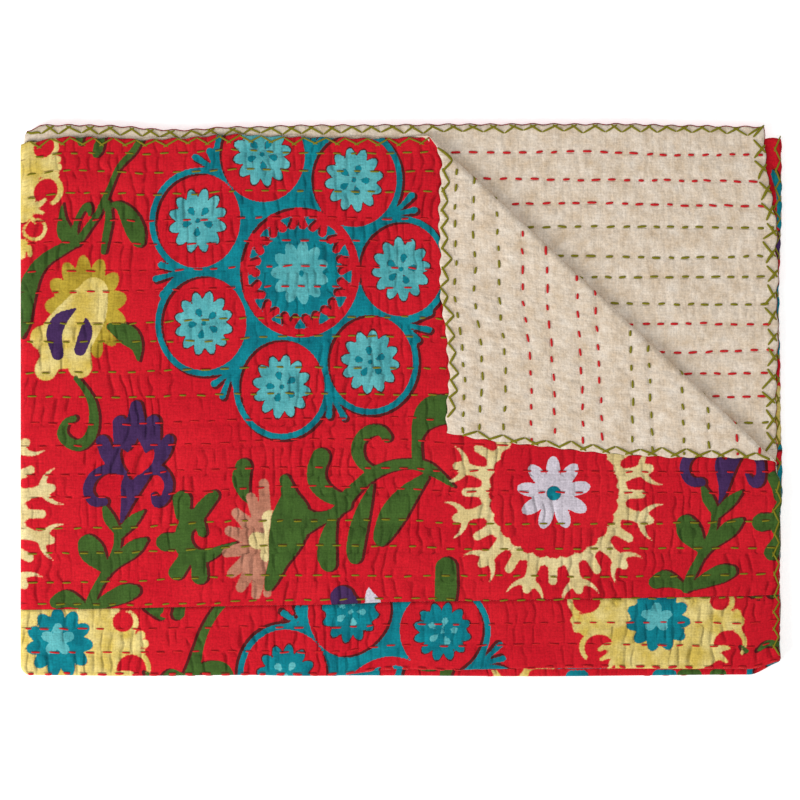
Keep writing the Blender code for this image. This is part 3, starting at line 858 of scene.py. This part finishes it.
CLOVER = strokes("green",
    ((200, 185, 10.5), (190, 171, 9.3), (189, 154, 10.5), (200, 142, 9.3), (216, 141, 7), (233, 149, 4.1),
     (251, 157, 0.6)),
    ((187, 206, 10.5), (188, 189, 8.2)),
    ((224, 211, 6.4), (212, 197, 8.2), (203, 183, 7)),
    ((211, 168, 5.2), (207, 183, 5.8)),
    ((168, 157, 10.5), (186, 159, 8.2)),
    ((181, 122, 9.3), (193, 140, 8.2)),
    ((208, 117, 9.3), (207, 136, 8.2)),
    ((259, 245, 9.3), (256, 230, 9.9), (260, 213, 5.8), (266, 202, 1.2)),
)
BRANCH = (
    strokes("green",
        ((307, 230, 5.8), (313, 209, 10.5), (315, 185, 22.1), (308, 160, 19.8), (300, 136, 11.7),
         (292, 115, 8.2), (288, 104, 4.7)),
        ((314, 181, 23.3), (339, 182, 10.5), (360, 189, 5.8), (378, 200, 7)),
        ((367, 190, 5.8), (378, 207, 8.2), (393, 223, 7), (412, 238, 7), (433, 246, 6.4), (454, 248, 5.8),
         (472, 244, 7), (488, 234, 4.7), (504, 221, 1.2)),
        ((349, 256, 10.5), (344, 241, 10.5), (346, 225, 10.5), (359, 212, 9.3), (375, 206, 7)),
        ((426, 279, 5.8), (419, 287, 5.8), (405, 286, 7), (394, 275, 7), (392, 261, 7), (398, 248, 5.8),
         (410, 240, 4.7)),
        ((499, 312, 16.3), (479, 309, 17.5), (466, 294, 10.5), (461, 276, 5.8), (461, 259, 5.8),
         (463, 246, 5.8)),
        ((365, 188, 3.5), (358, 164, 8.7), (356, 143, 11.1), (358, 132, 9.3)),
        ((409, 223, 1.7), (402, 204, 6.4), (394, 177, 9.9), (389, 150, 9.9), (389, 140, 8.2)),
        ((470, 232, 4.7), (451, 213, 11.7), (434, 190, 15.1), (422, 167, 11.1), (419, 159, 7)),
        ((495, 127, 12.2), (495, 104, 12.8), (494, 86, 11.7)),
    )
    + inked("purple", disc(374, 92, 14), disc(382, 86, 10.5))
    + strokes("lavender", ((405, 104, 0.6), (407, 93, 5.8), (410, 85, 9.3)))
)

# %% Flower heads and corals
MUSTARD_FLOWER = (
    inked("mustard", rosette(76, 430, 47.8, 13, 0.26, 0.2, 1.28))
    + strokes("yellow",
        ((85, 449, 16.3), (74, 425, 25.6), (55, 399, 30.3), (48, 387, 28)),
        ((41, 399, 15.1), (25, 395, 14)),
        ((41, 379, 14), (29, 358, 12.8)),
        ((67, 379, 14), (69, 362, 14)),
    )
    + strokes("purple",
        ((64, 429, 1.2), (46, 416, 8.2), (39, 399, 9.3), (43, 376, 7)),
        ((76, 418, 1.2), (76, 402, 7.6), (69, 381, 7)),
    )
)
ROSE_FLOWER = (
    strokes("rose",
        ((286, 160, 8.2), (283, 225, 5.8)),
        ((286, 160, 9.3), (268, 209, 5.8)),
        ((283, 160, 10.5), (251, 191, 5.8)),
        ((281, 157, 10.5), (243, 170, 5.8)),
        ((281, 154, 10.5), (240, 145, 5.8)),
        ((281, 150, 10.5), (246, 121, 5.8)),
        ((281, 148, 10.5), (256, 104, 5.8)),
        ((283, 146, 10.5), (274, 96, 5.8)),
        ((286, 146, 9.3), (287, 97, 4.7)),
    )
    + strokes("pale",
        ((290, 185, 9.3), (293, 171, 9.3)),
        ((275, 159, 9.9), (286, 157, 9.3)),
        ((288, 143, 9.3), (293, 160, 9.3)),
    )
)
CORAL = (
    strokes("yellow",
        ((6, 626, 11.7), (9, 597, 12.8), (7, 567, 11.7), (4, 542, 8.2)),
        ((18, 597, 10.5), (29, 595, 11.7)),
    )
    + inked("yellow",
        disc(42, 602, 4.7),
        disc(43, 593, 4.7),
        disc(40, 584, 4.7),
        grown(disc(28, 618, 12.8), 3.5),
        grown(disc(32, 567, 14, 1.05), 3.5),
        grown(disc(17, 523, 10.5), 3.0),
    )
    + inked("bare", disc(27, 619, 12.2), disc(29, 567, 14, 1.05), disc(16, 524, 10.5))
    + strokes("bare", ((16, 637, 5.8), (29, 635, 5.8)), ((27, 550, 5.8), (36, 542, 7)))
    + strokes("yellow",
        ((9, 549, 3.5), (20, 552, 3.5), (28, 557, 2.3)),
        ((7, 546, 3.5), (18, 545, 2.9), (26, 542, 1.7)),
        ((9, 544, 2.9), (14, 535, 1.7), (17, 530, 0.9)),
        ((2, 509, 4.7), (9, 501, 3.5), (11, 493, 2.3)),
        ((2, 503, 4.7), (3, 492, 2.9)),
    )
)
print("strokes:", sum(len(m) for m in (VINE, STEM_CURL, TULIP, PLANT, CLOVER, BRANCH)))

# %% [markdown]
# ## Printing the two widths
# A screen repeats its design along the cloth, here every 699 mm with a small drift of 23 mm. The lower
# width was turned half round before it was sewn on, so its shadows fall the other way and its motifs are
# cut by the seam.

# %% Upper width
REPEAT = np.array((699.0, 23.0))
WHEEL_SHADOW, SHADOW = np.array((3.0, -2.4)), np.array((3.5, 0.5))


def print_width(piece, s, t, way, wheel, motifs, extra=()):
    """Stamps the design along a width and keeps each ink on its mesh. way is -1 if it is turned round."""
    cloth = blank_print(s, t)
    for step in (-2, -1, 0, 1):
        stamp(cloth, wheel, way * WHEEL_SHADOW, REPEAT * step)
        for motif in motifs:
            stamp(cloth, motif, way * SHADOW, REPEAT * step)
    stamp(cloth, extra, way * SHADOW)
    keep_values(piece.data, {ink: cloth[ink] for ink in INKS})
    print(piece.name, "teal share:", round(float((cloth["teal"] > 0).mean()), 3))


upper_motifs = (
    sun(621, 214), VINE, MUSTARD_FLOWER, STEM_CURL, TULIP, PLANT, CLOVER, ROSE_FLOWER, BRANCH, CORAL,
)
upper_wheel = medallion(325, 471, ("teal", "light_teal"), 0.1)
print_width(upper_panel, upper_s, upper_t, 1, upper_wheel, upper_motifs)

# %% Lower width
LOWER_PATCH = (
    strokes("yellow",
        ((705, 48, 48.9), (746, 48, 48.9), (784, 48, 48.9)),
        ((696, 76, 35), (746, 76, 35), (791, 76, 35)),
        ((676, 55, 21), (664, 55, 16.3)),
    )
    + inked("yellow",
        disc(647, 71, 5.2),
        disc(645, 61, 5.2),
        disc(648, 50, 5.2),
        grown(disc(656, 86, 16.3), 3),
        grown(disc(671, 26, 17.5), 3),
    )
    + inked("bare", disc(659, 87, 16.3), disc(674, 25, 17.5))
    + strokes("bare", ((668, 6, 10.5), (680, 1, 12.8)))
    + strokes("yellow",
        ((691, 25, 7), (682, 27, 4.1), (674, 23, 2.3)),
        ((692, 18, 7), (684, 15, 3.5), (676, 11, 2.1)),
        ((695, 11, 7), (689, 7, 3.5), (685, 1, 1.7)),
        ((814, 61, 18.6), (825, 61, 14)),
    )
    + inked("yellow",
        disc(839, 71, 5.2),
        disc(843, 61, 5.2),
        disc(839, 50, 5.2),
        grown(disc(821, 86, 12.2), 3),
        grown(disc(830, 32, 17.5, 1.05), 3),
    )
    + inked("bare", disc(818, 87, 12.2), disc(828, 30, 17.5, 1.05))
    + strokes("bare", ((836, 11, 10.5), (822, 4, 11.7)))
    + strokes("yellow",
        ((809, 21, 7), (818, 25, 4.1), (828, 26, 2.6)),
        ((809, 15, 7), (818, 15, 4.1), (826, 9, 1.9)),
    )
    + inked("teal", rosette(744, 62, 39.6, 11, 0.28, 0.5, 1.05))
    + inked("light_teal", rosette(742, 65, 19.8, 5, 0.6, 0.3, 1.0))
)
LOWER_VINE = (
    strokes("green",
        ((237, 87, 4.7), (225, 72, 4.7), (215, 54, 4.7), (208, 34, 5.2), (203, 15, 7), (198, -3, 9.3)),
        ((209, 8, 4.7), (222, 9, 8.2), (235, 7, 8.2), (245, 0, 3.5)),
    )
    + inked("green", disc(161, 79, 5.8))
    + strokes("green",
        ((186, 83, 5.8), (184, 73, 7)),
        ((166, -1, 2.3), (176, 4, 4.1), (186, 0, 3.5)),
        ((146, 5, 1.7), (151, -1, 2.9)),
        ((846, 103, 2.9), (853, 99, 3.7), (861, 92, 2.3), (868, 89, 1.2)),
    )
)
SIDE_PIECES = (  # what shows of the layer under it, past the side hem
    strokes("teal", ((-879, -603, 2.5), (-883, -593, 4), (-887, -577, 4), (-888, -562, 4), (-888, -533, 4)))
    + strokes("purple", ((-887, -524, 4), (-887, -494, 4)))
    + strokes("teal", ((-887, -455, 4), (-887, -375, 4)))
    + strokes("yellow", ((-886, -336, 4), (-886, -275, 4)))
)
FOLD_PIECES = (  # and past the bottom fold
    strokes("bare", ((-600, 0, 9), (-835, 0, 9)))
    + strokes("teal", ((-642, 0, 7), (-655, 0, 7)), ((-744, 0, 7), (-760, 0, 7)))
    + strokes("green", ((-774, 0, 7), (-790, 0, 7)), ((-813, 0, 7), (-820, 0, 7)))
)
lower_wheel = medallion(428, -60, ("light_teal", "teal"), 0.25)
edge_pieces = SIDE_PIECES + FOLD_PIECES
print_width(lower_panel, lower_s, lower_t, -1, lower_wheel, (LOWER_PATCH, LOWER_VINE), edge_pieces)

# %% [markdown]
# ## Cloth materials
# Cotton is matt, with a faint sheen from its fuzz. Its weave is too fine to show from six metres away, so
# it is drawn about twice as coarse, and so are the slubs, the thicker stretches of hand-spun yarn that give
# the cloth its uneven look. The UV map holds the flat place in metres, so the patterns follow the threads
# round every fold.


# %% Colours and nodes
def linear(hex_colour):
    parts = [int(hex_colour[k : k + 2], 16) / 255 for k in (1, 3, 5)]
    return (*[p / 12.92 if p <= 0.04045 else ((p + 0.055) / 1.055) ** 2.4 for p in parts], 1.0)


def add_node(material, kind, inputs=(), out=0, **settings):
    """Adds a node with its properties and its inputs, by name or in order, and gives one output."""
    made = material.node_tree.nodes.new("ShaderNode" + kind)
    for name, value in settings.items():
        setattr(made, name, value)
    for socket, value in inputs.items() if isinstance(inputs, dict) else enumerate(inputs):
        if isinstance(value, bpy.types.NodeSocket):
            material.node_tree.links.new(value, made.inputs[socket])
        else:
            made.inputs[socket].default_value = value
    return made.outputs[out]


def new_material(name):
    made = bpy.data.materials.new(name)
    made.use_nodes = True
    return made


def finish(material, colour, normal, roughness, sheen, specular):
    """Gives the material's shader its colour, its bumps and how it shines."""
    shader = material.node_tree.nodes["Principled BSDF"]
    material.node_tree.links.new(colour, shader.inputs["Base Color"])
    material.node_tree.links.new(normal, shader.inputs["Normal"])
    shader.inputs["Roughness"].default_value = roughness
    shader.inputs["Sheen Weight"].default_value = sheen
    shader.inputs["Specular IOR Level"].default_value = specular


# %% Weave, slubs and creases that both cottons share
WEAVE = 0.0008  # real threads are about 0.35 mm apart: drawn coarser so that they show close up
BAND = 0.31416  # metres from band to band in a wave texture of scale 1
SLUB_LONG, SLUB_THIN = 55.0, 520.0  # noise cells to a metre, along and across a yarn
THREAD_SHADE = (1.3, 0.2, 1.1)  # mm: the shade lies this far beside the row, full to here and gone by here


def cloth_relief(material, pucker_deep, pucker_wide, crumple_deep):
    """Bump for weave, slubs, puckers and dimples: its normal, and the slubs, creases and stitch shade."""
    flat = add_node(material, "UVMap", uv_map="cloth")
    threads = {"Vector": flat, "Scale": BAND / WEAVE, "Distortion": 2.0}
    weft = add_node(material, "TexWave", threads, "Fac", bands_direction="X")
    warp = add_node(material, "TexWave", threads, "Fac", bands_direction="Y")
    weave = add_node(material, "Math", (weft, warp), operation="MULTIPLY")
    slubs = []
    for stretch in ((SLUB_LONG, SLUB_THIN, 1.0), (SLUB_THIN, SLUB_LONG, 1.0)):
        yarn = add_node(material, "Mapping", {"Vector": flat, "Scale": stretch})
        slubs.append(add_node(material, "TexNoise", {"Vector": yarn, "Scale": 1.0, "Detail": 2.0}))
    slub = add_node(material, "Math", slubs, operation="ADD")
    slub = add_node(material, "Math", (slub, 0.5), operation="MULTIPLY")
    crumple = add_node(material, "TexNoise", {"Vector": flat, "Scale": 75.0, "Detail": 3.0})
    phase = add_node(material, "Attribute", out="Fac", attribute_name="pucker")
    depth = add_node(material, "Attribute", out="Fac", attribute_name="pucker_depth")
    away = add_node(material, "Math", (phase, 0.5), operation="PINGPONG")
    valley = (away, 0.0, pucker_wide, -1.0, 0.0)
    valley = add_node(material, "MapRange", valley, interpolation_type="SMOOTHSTEP")
    valley = add_node(material, "Math", (valley, depth), operation="MULTIPLY")
    crease = add_node(material, "MapRange", (away, 0.0, 0.15, 1.0, 0.0), interpolation_type="SMOOTHSTEP")
    crease = add_node(material, "Math", (crease, depth), operation="MULTIPLY")
    off = add_node(material, "Attribute", out="Fac", attribute_name="row_off")
    near = add_node(material, "Attribute", out="Fac", attribute_name="row_near")
    near = add_node(material, "MapRange", (near, 2.5, 4.0, 1.0, 0.0))
    pull = add_node(material, "Attribute", out="Fac", attribute_name="stitch")
    pull = add_node(material, "Math", (pull, near), operation="MULTIPLY")
    beside, full, gone = THREAD_SHADE
    shade = add_node(material, "Math", (off, beside), operation="SUBTRACT")
    shade = add_node(material, "Math", (shade,), operation="ABSOLUTE")
    shade = add_node(material, "MapRange", (shade, full, gone, 1.0, 0.0))
    shade = add_node(material, "Math", (shade, pull), operation="MULTIPLY")
    normal = None
    for height, distance, strength in (
        (weave, 0.00010, 0.30),
        (slub, 0.0006, 0.55),
        (crumple, crumple_deep, 0.35),
        (valley, pucker_deep, 0.90),
        (shade, -0.0008, 0.60),
    ):
        inputs = {"Height": height, "Distance": distance, "Strength": strength}
        if normal:
            inputs["Normal"] = normal
        normal = add_node(material, "Bump", inputs)
    return normal, slub, crease, shade


def tinted(material, colour, slub, spread, crease, crease_shade, shade, shade_share, shade_colour):
    """The colour, uneven with its yarns, with painted shade in the creases and beside the stitches."""
    flat = add_node(material, "UVMap", uv_map="cloth")
    grain = add_node(material, "TexNoise", {"Vector": flat, "Scale": 420.0, "Detail": 3.0, "Roughness": 0.7})
    both = add_node(material, "Math", (slub, grain), operation="ADD")
    tone = add_node(material, "MapRange", (both, 0.75, 1.25, 1.0 - spread, 1.0 + spread))
    # painted shade: the colour is darker along the pucker creases
    crease_shading = add_node(material, "MapRange", (crease, 0.0, 1.0, 1.0, 1.0 - crease_shade))
    tone = add_node(material, "Math", (tone, crease_shading), operation="MULTIPLY")
    grey = add_node(material, "CombineColor", (tone, tone, tone))
    colour = {0: 1.0, 6: colour, 7: grey}
    colour = add_node(material, "Mix", colour, 2, data_type="RGBA", blend_type="MULTIPLY")
    # painted shade: the colour is mixed towards a dark shade colour in a line beside each stitch
    share = add_node(material, "Math", (shade, shade_share), operation="MULTIPLY")
    return add_node(material, "Mix", {0: share, 6: colour, 7: linear(shade_colour)}, 2, data_type="RGBA")


# %% [markdown]
# ## Printed cotton
# The ground is a strong red, dyed through, with the inks printed on it. Each ink is an attribute on the
# mesh: how far inside its shape a point lies, in millimetres. A soft step turns that into a mask, with a
# little noise on the edge, where ink creeps along the threads. The pale inks are thick pastes with softer
# edges. Each ink has two tones, where it lies thin and where it lies thick.

# %% Printed cotton
INK_COLOURS = {
    "maroon": ("#54191a", "#54191a"),
    "teal": ("#0a7f8c", "#056a78"),
    "green": ("#3f5e26", "#385422"),
    "mustard": ("#b29a35", "#998022"),
    "rose": ("#b67c66", "#aa6f59"),
    "pale": ("#d8c793", "#ccb77e"),
    "yellow": ("#d9c67f", "#c8ae50"),
    "lavender": ("#c8c0ca", "#beb6c0"),
    "light_teal": ("#5fb0b4", "#46999f"),
    "purple": ("#432a56", "#3b244d"),
}
SOFT_INKS, SOFT, SHARP, CREEP = ("pale", "yellow", "rose", "mustard"), 0.9, 0.40, 0.45  # edges in mm
MATT, FUZZ, GLINT = 0.88, 0.02, 0.1
printed = new_material("red printed plain-weave cotton")
normal, slub, crease, shade = cloth_relief(printed, 0.0013, 0.26, 0.0045)
flat_place = add_node(printed, "UVMap", uv_map="cloth")
creep = add_node(printed, "TexNoise", {"Vector": flat_place, "Scale": 420.0, "Detail": 2.0})
creep = add_node(printed, "MapRange", (creep, 0.3, 0.7, -CREEP, CREEP))
tone = add_node(printed, "TexNoise", {"Vector": flat_place, "Scale": 14.0, "Detail": 3.0})
tone = add_node(printed, "MapRange", (tone, 0.3, 0.7))
red = {0: tone, 6: linear("#c81a27"), 7: linear("#bc1122")}
colour = add_node(printed, "Mix", red, 2, data_type="RGBA")
blotch = add_node(printed, "TexNoise", {"Vector": flat_place, "Scale": 34.0, "Detail": 3.0})
blotch = add_node(printed, "MapRange", (blotch, 0.38, 0.62))
for ink in INKS:
    soft = SOFT if ink in SOFT_INKS else SHARP
    depth = add_node(printed, "Attribute", out="Fac", attribute_name=ink)
    depth = add_node(printed, "Math", (depth, creep), operation="ADD")
    mask = add_node(printed, "MapRange", (depth, -soft, soft, 0.0, 1.0), interpolation_type="SMOOTHSTEP")
    thin, thick = INK_COLOURS[ink]
    paste = {0: blotch, 6: linear(thin), 7: linear(thick)}
    paste = add_node(printed, "Mix", paste, 2, data_type="RGBA")
    colour = add_node(printed, "Mix", {0: mask, 6: colour, 7: paste}, 2, data_type="RGBA")
# painted shade: creases dimmed by up to 0.45, and up to 0.70 of dark red #4a060c beside the stitches
colour = tinted(printed, colour, slub, 0.24, crease, 0.45, shade, 0.70, "#4a060c")
finish(printed, colour, normal, MATT, FUZZ, GLINT)

# %% [markdown]
# ## Natural cotton
# The back is unbleached cotton, greige from the loom: warm cream with darker flecks of seed and thicker
# yarns.

# %% Plain cotton
plain = new_material("unbleached slub cotton")
normal, slub, crease, shade = cloth_relief(plain, 0.0003, 0.40, 0.0085)
flat_place = add_node(plain, "UVMap", uv_map="cloth")
flecks = {"Vector": flat_place, "Scale": 48.0, "Detail": 6.0, "Roughness": 0.65}
tone = add_node(plain, "TexNoise", flecks)
tone = add_node(plain, "MapRange", (tone, 0.3, 0.7))
cream = {0: tone, 6: linear("#c8b297"), 7: linear("#e3d7c8")}
colour = add_node(plain, "Mix", cream, 2, data_type="RGBA")
# painted shade: creases dimmed by up to 0.06, and up to 0.35 of dark brown #6b5a48 beside the stitches
colour = tinted(plain, colour, slub, 0.20, crease, 0.06, shade, 0.35, "#6b5a48")
finish(plain, colour, normal, MATT + 0.02, FUZZ, GLINT)
upper_panel.data.materials.append(printed)
lower_panel.data.materials.append(printed)
back.data.materials.append(plain)

# %% [markdown]
# ## Thread
# Quilting thread is two or three strands of cotton, lightly twisted, so its surface has a slanting twist.
# It is a bit shinier than the cloth.


# %% Threads' material
def thread_material(name, light, dark):
    made = new_material(name)
    run = add_node(made, "UVMap", uv_map="thread")
    twist = add_node(made, "Mapping", {"Vector": run, "Rotation": (0.0, 0.0, 0.6)})
    strands = add_node(made, "TexWave", {"Vector": twist, "Scale": 260.0, "Distortion": 1.0}, "Fac")
    # painted highlight and shade: the light tone lies on each strand's ridge and the dark tone in the grooves
    # between strands
    tone = add_node(made, "Mix", {0: strands, 6: linear(dark), 7: linear(light)}, 2, data_type="RGBA")
    bump = add_node(made, "Bump", {"Height": strands, "Distance": 0.0002, "Strength": 0.5})
    finish(made, tone, bump, 0.6, 0.03, 0.2)
    return made


olive_thread = thread_material("twisted cotton thread olive", "#8e8808", "#5e5804")
red_thread = thread_material("twisted cotton thread red", "#d8171e", "#a80d14")

# %% The floor's material
floor_paper = new_material("matt white card")
floor_shader = floor_paper.node_tree.nodes["Principled BSDF"]
floor_shader.inputs["Base Color"].default_value = (0.92, 0.92, 0.92, 1.0)
floor_shader.inputs["Emission Color"].default_value = (1.0, 1.0, 1.0, 1.0)
floor_shader.inputs["Emission Strength"].default_value = 0.38  # lit from behind, as a studio's light table is
floor_shader.inputs["Roughness"].default_value = 0.9
grain = add_node(floor_paper, "TexNoise", {"Scale": 300.0, "Detail": 2.0})
grain = add_node(floor_paper, "Bump", {"Height": grain, "Distance": 0.00005, "Strength": 0.2})
floor_paper.node_tree.links.new(grain, floor_shader.inputs["Normal"])
print("materials:", [m.name for m in (printed, plain, olive_thread, red_thread, floor_paper)])

# %% [markdown]
# ## Stitches
# A running stitch dips in and out of the cloth, so each row shows short dashes on both sides, one side's
# dashes in the other side's gaps. Nearly two thousand show. One small ball of 84 triangles is shaped into
# every stitch by NumPy: it is stretched from point to point in the flat cloth, arched over the surface, and
# then folded along with it. The stitches of one colour are joined in one mesh.

# %% One stitch as a pattern, and many stitches as one mesh
FLATTENED, SUNK, PRESSED = 0.75, 0.0002, -0.0005  # a stitch's shape, how deep it lies, and its lowest place
ball = bmesh.new()
bmesh.ops.create_uvsphere(ball, u_segments=6, v_segments=8, radius=1.0)
bmesh.ops.triangulate(ball, faces=ball.faces[:])
BALL = np.array([v.co[:] for v in ball.verts])
BALL_FACES = np.array([[v.index for v in f.verts] for f in ball.faces], dtype=np.int32)
ball.free()
round_off = np.sqrt(np.maximum(1e-9, 1 - BALL[:, 2] ** 2))
PLUMP = np.where(round_off < 1e-3, 0.0, 1 / np.sqrt(np.maximum(round_off, 1e-3)))


def sew(name, stitches, thread):
    """stitches: rows of start s, t, end s, t, side, radius, arch. Makes one mesh of them all."""
    rows = np.array(stitches)
    a, b = rows[:, 0:2], rows[:, 2:4]
    side, radius, arch = rows[:, 4:5], rows[:, 5:6], rows[:, 6:7]
    along = BALL[None, :, 2]
    run = (b - a) / np.linalg.norm(b - a, axis=1, keepdims=True)
    wide = BALL[None, :, 0] * PLUMP * radius
    high = BALL[None, :, 1] * PLUMP * radius * FLATTENED
    share = along * 0.5 + 0.5
    mid_s, mid_t = a[:, 0:1] + (b - a)[:, 0:1] * share, a[:, 1:2] + (b - a)[:, 1:2] * share
    s, t = mid_s - run[:, 1:2] * wide, mid_t + run[:, 0:1] * wide
    base = np.where(side > 0, surface(mid_s, mid_t, 1), -surface(mid_s, mid_t, -1))
    lift = base + arch * (1 - along**4) - SUNK + high
    under = (mid_s < LEFT_RUN) & (mid_t > BOTTOM_RUN) & (side > 0)
    lift = np.where(under, OUTER - 0.0006 + 0.5 * high, lift)
    places = folded(s.ravel(), t.ravel(), (side * lift).ravel())
    places[:, 2] = np.maximum(places[:, 2], PRESSED)  # flat under the weight where the quilt lies on them
    count = len(rows)
    faces = (BALL_FACES[None] + (np.arange(count) * len(BALL))[:, None, None]).reshape(-1, 3)
    mirrored = np.repeat(rows[:, 4] < 0, len(BALL_FACES))
    faces[mirrored] = faces[mirrored][:, ::-1]
    mesh = bpy.data.meshes.new(name)
    mesh.from_pydata(places, [], faces)
    length = np.linalg.norm(b - a, axis=1, keepdims=True)
    keep_places(mesh, "thread", np.stack((share * length, wide), axis=-1).reshape(-1, 2))
    mesh.shade_smooth()
    mesh.materials.append(thread)
    print(name, count, "stitches,", len(faces), "triangles")
    return as_piece(name, mesh)


# %% [markdown]
# ## The running stitches
# Only dashes that can be seen are made: on the printed top, on the underside, on the plain side of the
# turned corner and of the layer under it. Real thread of this kind is under 1 mm thick. It is drawn
# thicker, so that it shows from six metres away: about 2 mm wide on the print, and 3 mm on the plain cloth,
# where it lies looser.

# %% Running stitches
THREAD, ARCH, HEM_ARCH, LOOSER = 0.00110, 0.0006, 0.0008, 1.45
OFF_ROW, SHORTEST = 0.0018, 0.003
dashes = {"green": [], "red": []}
for index, (row_t, thread_colour) in enumerate(ROWS):
    for side in (1, -1):
        for span in ROW_DASHES[index][side]:
            t = row_place(index, span) + OFF_ROW * (hand.random(2) - 0.5)
            past, below = beyond_crease(span[0], t[0]), beyond_crease(span[0], -t[0])
            if side > 0:
                shows = row_t > 0 and past < 0.004 and not (span[0] > 0 and under_flap(span[0], t[0], 0.012))
            else:
                shows = span[0] > 0 and ((row_t > 0 and past > -0.004) or (row_t < 0 and below > -0.02))
            if shows and span[1] > span[0] + SHORTEST:
                radius = THREAD if side > 0 else LOOSER * THREAD
                dashes[thread_colour].append((span[0], t[0], span[1], t[1], side, radius, ARCH))
green_rows = sew("running_stitches_green", dashes["green"], olive_thread)
red_rows = sew("running_stitches_red", dashes["red"], red_thread)

# %% [markdown]
# ## The hem stitches
# The edges are closed with olive thread in herringbone stitch: slanting legs between the edge and a line 8
# to 14 mm in. Each leg starts a little behind the end of the last, so the legs cross near the edge, and on
# the printed side at their inner ends too.


# %% Hem stitches
def hem_row(start, end, inward, side, pitch, edge_cross, inner_cross, thick):
    """Stitches along one hem, from start to end, with inward the step from the edge to the inner points."""
    start, end, inward = np.array(start), np.array(end), np.array(inward)
    length = np.linalg.norm(end - start)
    run = (end - start) / length
    rows = []
    for k in range(int(length / pitch)):
        slip = SHARE_SLIP * (hand.random(4) - 0.5)
        deep = inward * (1 + 2.5 * slip[0])
        edge_a, inner = start + run * pitch * (k + slip[1]), start + run * pitch * (k + 0.5 + slip[2]) + deep
        edge_b = start + run * pitch * (k + 1 + slip[3])
        lap_edge, lap_inner = run * pitch * edge_cross, run * pitch * inner_cross
        for a, b in ((edge_a - lap_edge, inner + lap_inner), (inner - lap_inner, edge_b + lap_edge)):
            rows.append((*a, *b, side, thick, HEM_ARCH))
    return rows


FINE, THICK, STOUT = 0.00115, 0.00140, 0.00170
FRONT = (1, HEM_PITCH, 0.05, 0.12, FINE)  # side, pitch, laps at the edge and inside, and thickness
OUT, NEXT_LOW = HALF + 0.0006, -0.20
HEM_ROWS = (
    ((0.010, TOP_DEPTH), (0.486, TOP_DEPTH), (0, -HEM_DEEP), *FRONT),
    ((0.496, TOP_DEPTH), (HALF, TOP_DEPTH), (0, -0.0100), -1, 0.0265, 0.08, 0.02, STOUT),
    ((HALF, 0.262), (HALF, TOP_DEPTH), (-0.0100, 0), -1, 0.0265, 0.15, 0.0, STOUT),
    ((HALF, 0.008), (HALF, 0.240), (-HEM_DEEP, 0), *FRONT),
    ((0.010, -NEXT_DEPTH), (HALF, -NEXT_DEPTH), (0, HEM_DEEP), -1, 0.0235, 0.15, 0.0, THICK),
    ((OUT, -NEXT_DEPTH), (OUT, NEXT_LOW), (-0.0135, 0), -1, 0.0245, 0.17, -0.05, STOUT),
    ((-HALF, TOP_DEPTH), (-0.010, TOP_DEPTH), (0, -HEM_DEEP), *FRONT),
    ((-HALF, 0.008), (-HALF, TOP_DEPTH), (HEM_DEEP, 0), *FRONT),
    ((-HALF, -NEXT_DEPTH), (-HALF, NEXT_LOW), (HEM_DEEP, 0), 1, HEM_PITCH, 0.10, 0.12, FINE),
)
hems = [leg for row in HEM_ROWS for leg in hem_row(*row)]
hem_thread = sew("hem_stitches_olive", hems, olive_thread)

# %% [markdown]
# ## What each piece stands for
# Each new cloth takes the place of its solid and rides on the one body. The threads ride on it too; most of
# them are sewn through the front's upper width.

# %% Pieces and their body
for piece, node, slot in (
    (upper_panel, "front_upper_panel", "front_print"),
    (lower_panel, "front_lower_panel", "front_print"),
    (back, "back_cloth", "back_cloth"),
):
    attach(piece, "root")
    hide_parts(node)
for piece in (green_rows, red_rows, hem_thread):
    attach(piece, "root")

# %% [markdown]
# ## Floor, light and camera
# The quilt lies on a white table under wide soft light from the left, as in a studio. The camera looks
# straight down from far away with a long lens, so the outline has almost no perspective.

# %% Floor
FLOOR_HALF, FLOOR_HEIGHT = 3.0, -0.0006
paper = bmesh.new()
bmesh.ops.create_grid(paper, x_segments=1, y_segments=1, size=FLOOR_HALF)
bmesh.ops.translate(paper, verts=paper.verts, vec=(0, 0, FLOOR_HEIGHT))
floor_mesh = bpy.data.meshes.new("floor")
paper.to_mesh(floor_mesh)
paper.free()
floor = as_piece("floor", floor_mesh)
floor_mesh.materials.append(floor_paper)

# %% Lights
scene = bpy.context.scene
scene.view_settings.view_transform = "Standard"
world = bpy.data.worlds.new("studio")
scene.world = world
world.use_nodes = True
backdrop = world.node_tree.nodes["Background"]
backdrop.inputs["Color"].default_value = (1.0, 1.0, 1.0, 1.0)
backdrop.inputs["Strength"].default_value = 0.44


def area_light(name, place, size, power, colour):
    """A square light that shines on the middle of the quilt. Places and sizes in metres, power in watts."""
    lamp = bpy.data.lights.new(name, "AREA")
    lamp.shape, lamp.size, lamp.energy, lamp.color = "SQUARE", size, power, colour
    holder = as_piece(name, lamp)
    holder.location = place
    holder.rotation_euler = (-Vector(place)).to_track_quat("-Z", "Y").to_euler()


area_light("key", (-2.2, -1.5, 1.5), 1.7, 84, (1.0, 0.985, 0.96))
area_light("fill", (0.8, 0.6, 3.2), 3.0, 34, (1.0, 1.0, 1.0))

# %% Camera
CAMERA_HEIGHT, QUILT_TOP, FRAME_WIDTH, SENSOR = 6.0, 0.015, 0.932, 36.0
lens = bpy.data.cameras.new("camera")
lens.sensor_width = SENSOR
lens.lens = SENSOR * (CAMERA_HEIGHT - QUILT_TOP) / FRAME_WIDTH
camera = as_piece("camera", lens)
camera.location = (-0.001165, 0.00058, CAMERA_HEIGHT)
scene.camera = camera
